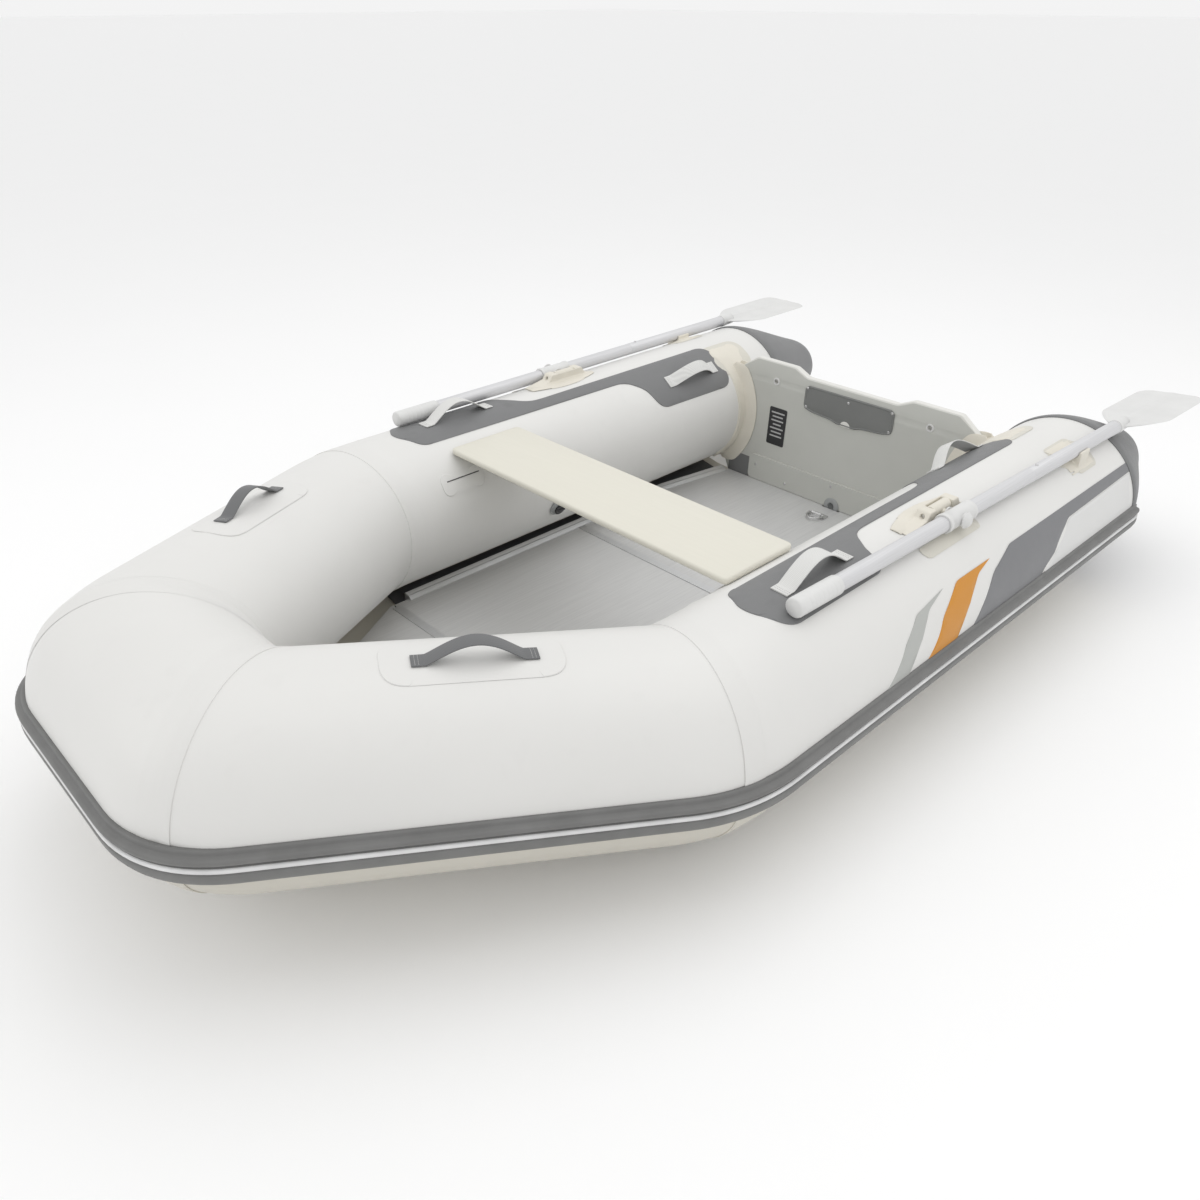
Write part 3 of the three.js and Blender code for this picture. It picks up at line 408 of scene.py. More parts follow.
def spline(points, steps=8):
    """A smooth curve through the points."""
    result = []
    for i in range(len(points) - 1):
        p = [Vector(points[max(i - 1, 0)]), Vector(points[i]), Vector(points[i + 1])]
        p.append(Vector(points[min(i + 2, len(points) - 1)]))
        for k in range(steps):
            t = k / steps
            result.append(0.5 * (
                2 * p[1] + (p[2] - p[0]) * t + (2 * p[0] - 5 * p[1] + 4 * p[2] - p[3]) * t ** 2
                + (3 * p[1] - p[0] - 3 * p[2] + p[3]) * t ** 3
            ))
    result.append(Vector(points[-1]))
    return result


def show(obj, body, slot, replaces=()):
    """Puts an object in the scene on its body."""
    if obj.name not in bpy.context.scene.collection.objects:
        bpy.context.scene.collection.objects.link(obj)
    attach(obj, body)
    if replaces:
        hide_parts(*replaces)
    return obj


def piece(name, form, looks, slot, body="hull", replaces=(), sharp=38):
    """A finished piece from a form."""
    mesh = bpy.data.meshes.new(name)
    mesh.from_pydata(form.points, [], form.faces)
    for look in looks if isinstance(looks, (list, tuple)) else [looks]:
        mesh.materials.append(look)
    mesh.polygons.foreach_set("material_index", form.marks)
    tidy = bmesh.new()
    tidy.from_mesh(mesh)
    bmesh.ops.remove_doubles(tidy, verts=tidy.verts, dist=5e-6)
    bmesh.ops.recalc_face_normals(tidy, faces=tidy.faces)
    tidy.to_mesh(mesh)
    tidy.free()
    mesh.shade_smooth()
    mesh.set_sharp_from_angle(angle=math.radians(sharp))
    return show(bpy.data.objects.new(name, mesh), body, slot, replaces)


def pair(name, form, looks, slot, body="hull", replaces=(), sharp=38):
    """The port piece and its mirror image. Body and replaces may hold {} for the side's name."""
    for side, sign in SIDES:
        shape = form if sign > 0 else form.mirrored()
        nodes = [node.format(side) for node in replaces]
        piece(f"{name}_{side}", shape, looks, slot, body.format(side), nodes, sharp)


def plate(outlines, low, high, bevel, matrix=Matrix.Identity(4)):
    """A flat plate with rounded edges, from an outline and its holes, placed by a matrix."""
    curve = bpy.data.curves.new("outline", "CURVE")
    curve.dimensions = "2D"
    curve.fill_mode = "BOTH"
    curve.extrude = (high - low) / 2 - bevel
    curve.bevel_depth = bevel
    curve.bevel_resolution = 2
    curve.offset = -bevel
    for outline in outlines:
        line = curve.splines.new("POLY")
        line.points.add(len(outline) - 1)
        for point, (x, y) in zip(line.points, outline):
            point.co = (x, y, 0, 1)
        line.use_cyclic_u = True
    holder = bpy.data.objects.new("outline", curve)
    bpy.context.scene.collection.objects.link(holder)
    shape = bpy.data.meshes.new_from_object(holder.evaluated_get(bpy.context.evaluated_depsgraph_get()))
    lift = matrix @ Matrix.Translation(Z * (low + high) / 2)
    form = Form([lift @ v.co for v in shape.vertices], [list(p.vertices) for p in shape.polygons])
    bpy.data.objects.remove(holder)
    bpy.data.curves.remove(curve)
    bpy.data.meshes.remove(shape)
    return form


def moulding(node, voxel, rounds, look, slot, body):
    """A moulded fitting: the CAD solid with its edges melted round, as a moulding's are."""
    work = bpy.data.objects.new("melt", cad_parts[node].data.copy())
    bpy.context.scene.collection.objects.link(work)
    remesh = work.modifiers.new("remesh", "REMESH")
    remesh.mode = "VOXEL"
    remesh.voxel_size = voxel
    smooth = work.modifiers.new("smooth", "SMOOTH")
    smooth.factor = 0.5
    smooth.iterations = rounds
    mesh = bpy.data.meshes.new_from_object(work.evaluated_get(bpy.context.evaluated_depsgraph_get()))
    bpy.data.objects.remove(work)
    mesh.materials.clear()
    mesh.materials.append(look)
    mesh.shade_smooth()
    mesh.name = f"{node}_moulding"
    return show(bpy.data.objects.new(mesh.name, mesh), body, slot, [node])


def finish_node(node, look, bevel=0.0):
    """A CAD node that stays: it takes its look and, where its edges are sharp, a small bevel."""
    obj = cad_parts[node]
    obj.data.materials.clear()
    obj.data.materials.append(look)
    if bevel:
        edge = obj.modifiers.new("edge", "BEVEL")
        edge.width = bevel
        edge.segments = 2
        edge.limit_method = "ANGLE"
        edge.harden_normals = True


# ---------------------------------------------------------------- the tubes


class Tube:
    """A straight tube between mitres.

    A point on it is (along, angle), with the angle in degrees from outboard over the top.
    """

    def __init__(self, start, end, turns):
        self.start, self.end = start, end
        self.way = (end - start).normalized()
        self.side = Vector((-self.way.y, self.way.x, 0)).normalized()
        self.up = self.way.cross(self.side)
        self.turns = turns  # for each end: the mitre plane's normal, and the leg and depth of its rounding

    def spoke(self, angle):
        turn = math.radians(angle)
        return self.side * math.cos(turn) + self.up * math.sin(turn)

    def at(self, along, angle, out=0.0):
        return self.start + self.way * along + self.spoke(angle) * (TUBE_R + out)

    def limits(self, angle):
        """Where the mitre planes cut the line at this angle."""
        rim = self.spoke(angle) * TUBE_R
        ends = []
        for corner, (normal, _, _) in zip((self.start, self.end), self.turns):
            ends.append((corner - self.start - rim).dot(normal) / self.way.dot(normal))
        return ends

    def skin(self, along, angle, out=0.0):
        """A point on the inflated skin, which rounds off on its outboard side beside a mitre."""
        low, high = self.limits(angle)
        outboard = max(math.cos(math.radians(angle)), 0) ** 1.5
        slide = 0  # keeps the end of the skin in the mitre plane as it sinks
        for distance, (normal, leg, depth) in zip((along - low, high - along), self.turns):
            if leg and distance < leg:
                sunk = depth * outboard * (1 - max(distance, 0) / leg) ** 2
                out -= sunk
                slide += sunk * self.spoke(angle).dot(normal) / self.way.dot(normal)
        return self.at(along + slide, angle, out)


quarter_way = (BOW_CORNER - KNEE).normalized()
knee_normal = (X + quarter_way).normalized()
bow_normal = (quarter_way - Y).normalized()
knee_turn = (knee_normal, KNEE_LEG, KNEE_LEG * 0.5 * math.sin(X.angle(quarter_way) / 2))
bow_turn = (bow_normal, BOW_LEG, BOW_LEG * 0.5 * math.sin(quarter_way.angle(-Y) / 2))
far_turn = (Vector((-bow_normal.x, bow_normal.y, -bow_normal.z)), *bow_turn[1:])

side_tube = Tube(STERN, KNEE, ((X, 0, 0), knee_turn))
quarter_tube = Tube(KNEE, BOW_CORNER, (knee_turn, bow_turn))
bow_tube = Tube(BOW_CORNER, OTHER_BOW_CORNER, (bow_turn, far_turn))
AROUND = 360 // STEP_ANGLE


def ring_angle(j):
    return j * STEP_ANGLE


def is_bottom(angle):
    angle = (angle + 180) % 360 - 180
    return angle < RAIL_LOW_ANGLE and angle > BOTTOM_END_ANGLE - 360 - STEP_ANGLE


def tube_face(i, j):
    """The number of a tube face's look: white fabric, or the bottom's beige below the rail."""
    return int(is_bottom(ring_angle(j + 0.5)))


SWELL = 0.0007  # how far the fabric wanders from a true cylinder
CROWDING = 0.35  # how much closer the stations lie near a tube's ends


def tube_form(tube, stations):
    """The tube's skin: white above the rail, and the bottom's beige below it."""
    def place(i, j):
        angle = ring_angle(j)
        low, high = tube.limits(angle)
        t = i / (stations - 1)
        eased = t - CROWDING * math.sin(2 * math.pi * t) / (2 * math.pi)
        swell = SWELL * noise.noise(tube.at(low + (high - low) * t, angle) * 3)
        return tube.skin(low + (high - low) * eased, angle, swell - SWELL)
    return grid(stations, AROUND, place, mark=tube_face)


def seam_form(first, first_end, second, second_end, lap, feather=0.04, thickness=0.0011):
    """The lap of fabric over a mitre: it fades in on the first tube and ends in an edge on the second."""
    under = -0.0008
    rows = [
        (first, first_end, feather, -0.0004),
        (first, first_end, feather * 0.6, thickness * 0.5),
        (first, first_end, feather * 0.25, thickness * 0.9),
        (None, 0, 0, thickness),
        (second, second_end, lap * 0.5, thickness),
        (second, second_end, lap - 0.0006, thickness),
        (second, second_end, lap, thickness * 0.75),
        (second, second_end, lap + 0.0001, under),
        (second, second_end, lap * 0.5, under),
        (first, first_end, feather * 0.5, under),
    ]

    def point(tube, end, distance, angle, rise):
        limits = tube.limits(angle)
        return tube.skin(limits[0] + distance if end == 0 else limits[1] - distance, angle, rise)

    def place(i, j):
        tube, end, distance, rise = rows[i % len(rows)]
        angle = ring_angle(j)
        if tube:
            return point(tube, end, distance, angle, rise)
        return (point(first, first_end, 0, angle, rise) + point(second, second_end, 0, angle, rise)) / 2
    return grid(len(rows) + 1, AROUND, place, capped=False, mark=tube_face)


def patch(tube, outline, thickness, cell=0.012, edge=0.0012, base=0.0):
    """A sheet glued on a tube. The outline's points are (along, arc), both in metres."""
    loop = [Vector(p) for p in outline]
    count = len(loop)
    area = sum(loop[i - 1].cross(loop[i]) for i in range(count))
    inset = []
    for i in range(count):
        way = (loop[(i + 1) % count] - loop[i - 1]).normalized()
        inward = Vector((-way.y, way.x)) * (1 if area > 0 else -1)
        inset.append(loop[i] + inward * edge)
    low = Vector((min(p.x for p in loop), min(p.y for p in loop)))
    high = Vector((max(p.x for p in loop), max(p.y for p in loop)))
    fill = []
    rows = max(int((high.y - low.y) / cell), 1)
    columns = max(int((high.x - low.x) / (2 * cell)), 1)
    for i in range(1, columns):
        for j in range(1, rows):
            p = Vector((low.x + (high.x - low.x) * i / columns, low.y + (high.y - low.y) * j / rows))
            gap = min((p - q).length for q in loop)
            if gap > cell * 0.4 and inside(p, inset):
                fill.append(p)
    ring = list(range(count))
    found = geometry.delaunay_2d_cdt(loop + inset + fill, [], [ring], 1, 1e-7)
    form = Form()
    tops, lows = [], []
    for p, sources in zip(found[0], found[3]):
        on_edge = any(s < count for s in sources)
        angle = math.degrees(p.y / TUBE_R)
        tops.append(len(form.points))
        form.points.append(tube.skin(p.x, angle, base + (0.0001 if on_edge else thickness)))
        if on_edge:
            lows.append(tops[-1])
        else:
            lows.append(len(form.points))
            form.points.append(tube.skin(p.x, angle, base - 0.0008))
    for face in found[2]:
        form.faces += [[tops[i] for i in face], [lows[i] for i in reversed(face)]]
    form.marks = [0] * len(form.faces)
    return form


def inside(p, loop):
    hit = False
    for i in range(len(loop)):
        a, b = loop[i - 1], loop[i]
        if (a.y > p.y) != (b.y > p.y) and p.x < (b.x - a.x) * (p.y - a.y) / (b.y - a.y) + a.x:
            hit = not hit
    return hit


def on_tube(points, radius=0.012, steps=6):
    """An outline on a tube from points given as (along, angle) or (along, angle, corner radius)."""
    flat = [(p[0], math.radians(p[1]) * TUBE_R, *p[2:]) for p in points]
    return rounded(flat, radius, steps)


pair("side_tube_skin", tube_form(side_tube, 60), [white_fabric, beige_fabric], "tube_fabric",
     replaces=["side_tube_{}"])
pair("quarter_tube_skin", tube_form(quarter_tube, 40), [white_fabric, beige_fabric], "tube_fabric",
     replaces=["quarter_tube_{}"])
piece("bow_tube_skin", tube_form(bow_tube, 30), [white_fabric, beige_fabric], "tube_fabric",
      replaces=["bow_tube"])

for seam, form in (
    ("knee_seam", seam_form(side_tube, 1, quarter_tube, 0, lap=0.006)),
    ("bow_seam", seam_form(bow_tube, 0, quarter_tube, 1, lap=0.028)),
):
    pair(seam, form, [patch_fabric, beige_fabric], "tube_fabric")

# A tail cone, with the edge that it laps over its side tube.
CONE_LENGTH = 0.34
CONE_LAP = 0.024


def cone_form():
    bulge = spline([
        (-CONE_LAP, TUBE_R + 0.0016), (0.0, TUBE_R + 0.0012), (0.075, TUBE_R - 0.022),
        (0.225, TUBE_R - 0.078), (CONE_LENGTH - 0.024, 0.082), (CONE_LENGTH - 0.003, 0.056),
        (CONE_LENGTH, 0.0),
    ], 7)
    inner = TUBE_R - 0.001
    profile = [(0, 0.0), (inner, 0.0), (inner, -CONE_LAP)]
    profile += [(max(radius, 0), distance) for distance, radius in bulge]
    return turned(profile, STERN, -X, AROUND)


pair("tail_cone_skin", cone_form(), grey_fabric, "grey_fabric", replaces=["tail_cone_{}"])

# The round patch on the cone's tip.
tip = turned([(0, 0), (0.05, 0), (0.049, 0.0015), (0, 0.002)], STERN - X * (CONE_LENGTH - 0.001), -X)
pair("tail_cone_tip", tip, grey_fabric, "grey_fabric")

# ---------------------------------------------------------------- rub rail


RAIL_OVERHANG = 0.006  # how far the rail runs aft of the side tube
KNEE_LIFT, BOW_LIFT = 0.003, 0.012  # the rail climbs a little on the tubes towards the bow
RUN_STEPS, CORNER_STEPS = 12, 14


def corner_line(distance):
    """The corners of a line that runs outside the tubes, from the port stern to the bow."""
    ways = [X, Vector((quarter_way.x, quarter_way.y, 0)).normalized(), -Y]
    outward = [Vector((-way.y, way.x, 0)) for way in ways]
    line = [STERN - X * RAIL_OVERHANG + outward[0] * distance]
    for corner, lift, first, second in ((KNEE, KNEE_LIFT, 0, 1), (BOW_CORNER, BOW_LIFT, 1, 2)):
        spread = outward[first] + outward[second]
        line.append(corner + Z * lift + spread * (distance / (1 + outward[first].dot(outward[second]))))
    return line


def bezier(a, middle, b, steps):
    points = []
    for k in range(steps + 1):
        t = k / steps
        points.append(a * (1 - t) ** 2 + middle * 2 * t * (1 - t) + b * t ** 2)
    return points


def rail_path(distance):
    start, knee, corner = corner_line(distance)
    mirror = corner.copy()
    mirror.y = -corner.y
    half = [start, start + X * 0.004, start + X * 0.012, start + X * 0.03]
    run = knee - start
    half += [start + run * (k / RUN_STEPS) for k in range(1, RUN_STEPS)]
    for middle, before, after, leg in ((knee, start, corner, KNEE_LEG), (corner, knee, mirror, BOW_LEG)):
        a = middle + (before - middle).normalized() * leg
        b = middle + (after - middle).normalized() * leg
        half += bezier(a, middle, b, CORNER_STEPS)
    return half + [Vector((p.x, -p.y, p.z)) for p in reversed(half)]


def on_rail(section):
    path = rail_path(TUBE_R)
    ways = tangents(path)
    last = len(path) - 1
    nose = [0.35, 0.75, 0.93]  # the ends of the rail are rounded off

    def frames(i):
        side = Z.cross(ways[i]).normalized()
        share = (nose + [1.0])[min(i, last - i, len(nose))]
        return side * share, Z * (0.5 + 0.5 * share)
    return sweep(section, path, frames)


RAIL_SECTION = [(x * MM, z * MM) for x, z in (
    (-12, -48), (-2, -51), (3, -50.5), (6.5, -48.5), (10.5, -44), (13.5, -38), (15, -30), (15.2, -25),
    (14.6, -22.6), (12.6, -21.6), (12.2, -20.5), (12.2, -12), (11, -11), (9.2, -9.2), (9.6, -7), (13, -5.6),
    (15.6, -3.4), (16.4, 0), (15.6, 3), (13, 5), (9, 6), (6, 6.6), (4.6, 8), (4.4, 12), (3.4, 14.4),
    (1.5, 15.4), (-3, 15.4), (-10, 10),
)]
STRIPE_SECTION = [(x * MM, z * MM) for x, z in (
    (11.6, -20.9), (13.4, -20.6), (14.7, -18.8), (15, -16.2), (14.7, -13.6), (13.4, -11.8), (11.6, -11.5),
)]
piece("rub_rail_strake", on_rail(RAIL_SECTION), rail_rubber, "rail_rubber", replaces=["rub_rail"], sharp=50)
piece("rub_rail_stripe", on_rail(STRIPE_SECTION), stripe_rubber, "rail_rubber", sharp=50)

# ---------------------------------------------------------------- hull bottom and keel


def bottom_form():
    """The fabric bottom: flat under the keel, then a soft curve up to each chine, and on to the tubes."""
    columns, rows = 65, 70
    fabric, gap = 0.0012, 0.0027
    aft = TRANSOM_X - TRANSOM_THICKNESS - 0.005
    keel_half, keel_half_at_bow, chine_rise = 0.13, 0.06, 0.0205

    def place(i, j):
        layer = j >= columns
        share = (j if not layer else 2 * columns - 1 - j) / (columns - 1) * 2 - 1
        x = aft + (BOW_CORNER.x - aft) * i / (rows - 1)
        f = max(0.0, min(1.0, (x - KNEE.x) / (BOW_CORNER.x - KNEE.x)))
        spine = TUBE_Y + (BOW_CORNER.y - TUBE_Y) * f
        edge_z = TUBE_Z - TUBE_R - gap + (BOW_CORNER.z - TUBE_Z) * f
        keel_z = KEEL_Z + (TUBE_Z - TUBE_R - gap + BOW_CORNER.z - TUBE_Z - KEEL_Z) * f ** 4
        chine_z = KEEL_Z + chine_rise + (edge_z - KEEL_Z - chine_rise) * f ** 4
        marks = [(0, keel_z), (keel_half + (keel_half_at_bow - keel_half) * f, keel_z),
                 (spine - 0.08 + 0.02 * f, chine_z), (spine + 0.025, edge_z)]
        reach = abs(share) * 3
        k = min(int(reach), 2)
        t = reach - k
        y = marks[k][0] + (marks[k + 1][0] - marks[k][0]) * t
        z = marks[k][1] + (marks[k + 1][1] - marks[k][1]) * (t * t * (3 - 2 * t) if k == 1 else t)
        return Vector((x, math.copysign(y, share), z + (fabric if layer else 0)))
    return grid(rows, 2 * columns, place)


piece("hull_bottom_skin", bottom_form(), beige_fabric, "bottom_fabric", replaces=["hull_bottom"], sharp=60)
finish_node("keel_tube", keel_fabric)

# ---------------------------------------------------------------- patches on the tubes

PATCH = 0.0012  # thickness of a plain patch
GLUE = 0.0010
wear_pad = on_tube([
    (1.345, 112), (0.640, 114, 0.09), (0.592, 128, 0.05), (0.566, 148.5, 0.05), (0.248, 149.5, 0.045),
    (0.246, 101, 0.05), (0.975, 101.5, 0.09), (1.022, 84, 0.05), (1.040, 66, 0.05), (1.345, 66, 0.05),
    (1.392, 90, 0.05),
], 0.04, 10)
bow_handle_patch = on_tube([(0.241, 72), (0.543, 72), (0.543, 106), (0.241, 106)], 0.045, 10)
strap_patch = on_tube([(1.235, 139), (1.362, 139), (1.362, 156), (1.235, 156)], 0.022, 8)
# The slit in the strap patch is a thin near-black sheet: painted shade for the shadow inside the slot.
strap_slit_shade_outline = on_tube([(1.245, 144.6), (1.345, 144.6), (1.345, 145.6), (1.245, 145.6)], 0.001, 4)
chafe_patch = on_tube([(0.700, 57), (0.915, 57), (0.925, 66), (0.700, 66)], 0.02)
holder_patch = on_tube([(0.128, 66), (0.150, 50), (0.236, 50), (0.300, 64), (0.270, 80), (0.160, 80)], 0.02)
transom_patch = on_tube([(0.112, 104), (0.282, 104), (0.290, 140), (0.112, 140)], 0.05, 10)
for name, tube, outline, thickness, look, slot in (
    ("wear_pad", side_tube, wear_pad, 0.0016, grey_fabric, "grey_fabric"),
    ("bow_handle_patch", quarter_tube, bow_handle_patch, PATCH, patch_fabric, "tube_fabric"),
    ("seat_strap_patch", side_tube, strap_patch, PATCH, patch_fabric, "tube_fabric"),
    ("seat_strap_slit_shade", side_tube, strap_slit_shade_outline, 0.0026, dark_plastic, "dark_plastic"),
    ("oar_chafe_patch", side_tube, chafe_patch, GLUE, glue_film, "ivory_plastic"),
    ("holder_patch", side_tube, holder_patch, GLUE, glue_film, "ivory_plastic"),
    ("transom_top_patch", side_tube, transom_patch, PATCH, glue_film, "ivory_plastic"),
):
    pair(name, patch(tube, outline, thickness), look, slot)

# The coloured stripes printed along each side.
PRINT = 0.0005
light_stripe = [
    (0.930, 39, 0), (1.040, 35, 0.03), (1.098, 24, 0.08), (1.196, 1, 0), (1.103, 1, 0), (1.040, 22, 0.12),
    (1.000, 33, 0.05),
]
orange_stripe = [
    (0.740, 38, 0), (0.880, 38, 0.04), (0.955, 25, 0.09), (1.045, 1, 0), (0.920, 1, 0), (0.848, 24, 0.12),
    (0.800, 34, 0.06),
]
grey_panel = [
    (0.020, 39, 0), (0.650, 38.5, 0.04), (0.745, 29, 0.09), (0.862, 1, 0), (0.550, 1, 0), (0.473, 14, 0.06),
    (0.385, 30, 0.05), (0.020, 32, 0),
]
inset_panel = [(0.024, 31.2, 0), (0.380, 29.2, 0.05), (0.466, 13.6, 0.06), (0.541, 1, 0), (0.024, 1, 0)]
for name, outline, look, slot in (
    ("print_light", light_stripe, panel_light, "tube_fabric"),
    ("print_orange", orange_stripe, panel_orange, "tube_fabric"),
    ("print_panel", grey_panel, panel_grey, "grey_fabric"),
    ("print_inset", inset_panel, panel_white, "tube_fabric"),
):
    pair(name, patch(side_tube, on_tube(outline, 0), PRINT, edge=PRINT), look, slot)

# ---------------------------------------------------------------- handles


def strap_section(width, thickness):
    half, round_off = width / 2, thickness * 0.35
    return rectangle(-half, half, 0, thickness, round_off, 2)


def handle_form(tube, along, angle, length, width, rise):
    """A webbing handle: flat feet, an arched grip, and two rows of stitches across each foot."""
    foot = 0.024
    out = tube.spoke(angle)
    start = tube.at(along, angle)
    steps = 28
    profile = [(0.0, 0.0018), (foot * 0.5, 0.0019), (foot * 0.85, 0.0021)]
    for i in range(steps + 1):
        s = i / steps
        profile.append((foot + (length - 2 * foot) * s, 0.0024 + rise * math.sin(math.pi * s) ** 1.1))
    profile += [(length - d, h) for d, h in reversed(profile[:3])]
    path = [start + tube.way * s + out * h for s, h in profile]
    ways = tangents(path)
    across = tube.way.cross(out).normalized()
    form = sweep(strap_section(width, 0.0026), path, lambda i: (across, ways[i].cross(across) * -1))
    for s in (foot * 0.25, foot * 0.5, length - foot * 0.5, length - foot * 0.25):
        for k in range(9):
            middle = start + tube.way * s + out * 0.0046 + across * (width * 0.8 * (k / 8 - 0.5))
            form.add(turned([(0, -0.0006), (0.0007, 0), (0, 0.0006)], middle, across, 6), 1)
    return form


quarter_length = (BOW_CORNER - KNEE).length
BOW_HANDLE = 0.208  # length of the bow handle, in the middle of its tube
side_looks = [white_webbing, grey_webbing]
for place, tube, along, angle, length, width, rise, looks, slot in (
    ("fore", side_tube, 1.075, 88, 0.216, 0.038, 0.040, side_looks, "white_webbing"),
    ("aft", side_tube, 0.284, 128, 0.216, 0.038, 0.040, side_looks, "white_webbing"),
    ("bow", quarter_tube, quarter_length / 2 - BOW_HANDLE / 2, 87, BOW_HANDLE, 0.030, 0.034,
     side_looks[::-1], "grey_webbing"),
):
    strap = handle_form(tube, along, angle, length, width, rise)
    pair(f"handle_{place}_strap", strap, looks, slot, replaces=[f"handle_{place}_{{}}"])

# ---------------------------------------------------------------- transom

transom_frame = (
    Matrix.Translation((TRANSOM_X, 0, TUBE_Z)) @ Matrix.Rotation(-TRANSOM_RAKE, 4, "Y")
    @ Matrix(((0, 0, 1, 0), (1, 0, 0, 0), (0, 1, 0, 0), (0, 0, 0, 1)))
)  # a plate drawn in (y, z) with its thickness along x from the transom's front face


def both_halves(half):
    return half + [(-y, z) for y, z in reversed(half) if y > 1e-6]


def transom_outline(inset):
    radius = TUBE_R + 0.008 + inset
    half = [(0, KEEL_Z - TUBE_Z + 0.0025 + inset), (0.13, KEEL_Z - TUBE_Z + 0.0025 + inset),
            (0.4 - inset, KEEL_Z - TUBE_Z + 0.0255 + inset)]
    for k in range(21):
        turn = math.radians(232 - 95 * k / 20)
        half.append((TUBE_Y + radius * math.cos(turn), radius * math.sin(turn)))
    shoulder = rounded([half[-1], (0.334 - inset, TRANSOM_TOP - inset, 0.02),
                        (0.194 + inset * 0.4, TRANSOM_TOP - inset, 0.03),
                        (0.149 + inset * 0.4, MOTOR_CUT - inset, 0.03), (0, MOTOR_CUT - inset)], 0, 6)
    half += [tuple(p) for p in shoulder[1:-1]] + [(0, MOTOR_CUT - inset)]
    return both_halves(half)


def circle(y, z, radius, steps=24):
    turns = [2 * math.pi * k / steps for k in range(steps)]
    return [(y + radius * math.cos(t), z + radius * math.sin(t)) for t in turns]


SKIN = 0.0014  # the moulded skin on each face of the board
BOLT_Y, BOLT_Z = 0.255, 0.131
DRAIN_Z = -0.192
holes = [circle(BOLT_Y, BOLT_Z, 0.0075), circle(-BOLT_Y, BOLT_Z, 0.0075), circle(0, DRAIN_Z, 0.0153)]
core = plate([transom_outline(0), *holes], -TRANSOM_THICKNESS + 0.0012, -0.0012, 0.004, transom_frame)
piece("transom_core", core, transom_edge, "transom_board", replaces=["transom_board"])
for name, low in (("transom_skin_front", -SKIN), ("transom_skin_aft", -TRANSOM_THICKNESS)):
    skin = plate([transom_outline(0.005), *holes], low, low + SKIN, 0.0005, transom_frame)
    piece(name, skin, transom_skin, "transom_board")

finish_node("transom_strip", transom_skin, 0.0012)
outer_outline = rectangle(-0.14, 0.14, -0.02, MOTOR_CUT - 0.006, 0.016)
outer_pad = plate([outer_outline], -TRANSOM_THICKNESS - 0.007, -TRANSOM_THICKNESS - 0.0003, 0.002,
                  transom_frame)
piece("motor_pad_back", outer_pad, pad_plastic, "pad_plastic", replaces=["motor_pad_outer"])

pad_half = [(0, 0.060), (0.030, 0.060), (0.050, 0.066), (0.120, 0.072), (0.143, 0.078), (0.148, 0.090),
            (0.148, 0.138), (0.137, 0.149), (0, 0.149)]
pad_outline = rounded(both_halves(pad_half), 0.008, 4)
NOTCH_R, NOTCH_Z, NOTCH_STEPS = 0.017, 0.0585, 16
notch_turns = [math.pi * k / NOTCH_STEPS for k in range(NOTCH_STEPS + 1)]
notch = [(NOTCH_R * math.cos(t), NOTCH_Z + NOTCH_R * math.sin(t)) for t in notch_turns]
pad = plate([pad_outline], 0.0004, 0.0036, 0.0008, transom_frame)

transom_out = (transom_frame.to_3x3() @ Z).normalized()
inner_outline = [(y * 0.965, 0.1045 + (z - 0.1045) * 0.93) for y, z in pad_outline]
rim_path = [transom_frame @ Vector((y, z, 0.0034)) for y, z in inner_outline]
pad.add(bead(rim_path, 0.0022, transom_out, 10, squash=0.8))
piece("motor_pad_front", pad, pad_plastic, "pad_plastic", replaces=["motor_pad_inner"])
notch_plate = plate([notch], 0.0008, 0.0042, 0.0006, transom_frame)
piece("motor_pad_notch", notch_plate, transom_edge, "transom_board")


def screws(places, radius, frame_matrix):
    """Pan-head screws on a face: (across, up, height of the face)."""
    form = Form()
    out = frame_matrix.to_3x3() @ Z
    for across, up, height in places:
        profile = [(0, 0), (radius, 0), (radius, 0.0006), (radius * 0.8, 0.0016), (radius * 0.3, 0.002),
                   (radius * 0.25, 0.0012), (0, 0.0011)]
        form.add(turned(profile, frame_matrix @ Vector((across, up, height)), out, 20))
    return form


STRIP_FACE, PAD_FACE = 0.007, 0.0036
strip_screws = [(-0.290, -0.150), (0.290, -0.150), (-0.174, -0.179), (0.174, -0.179), (-0.012, -0.133)]
pad_screws = [(0.14, 0.14), (-0.14, 0.14), (0, 0.132), (0.139, 0.084), (-0.139, 0.084)]
screw_places = [(*place, STRIP_FACE) for place in strip_screws]
screw_places += [(*place, PAD_FACE) for place in pad_screws]
piece("transom_screws", screws(screw_places, 0.0042, transom_frame), steel, "stainless_steel")

grommet = [(0.0068, -0.001), (0.0115, -0.001), (0.0115, 0.0008), (0.0105, 0.0018), (0.0072, 0.0018),
           (0.0068, 0.001), (0.0068, -0.001)]
grommets = Form()
for sign in (1, -1):
    for height, way in ((0, 1), (-TRANSOM_THICKNESS, -1)):
        middle = transom_frame @ Vector((sign * BOLT_Y, BOLT_Z, height))
        grommets.add(turned(grommet, middle, transom_out * way, 32))
piece("transom_grommets", grommets, white_plastic, "white_plastic")

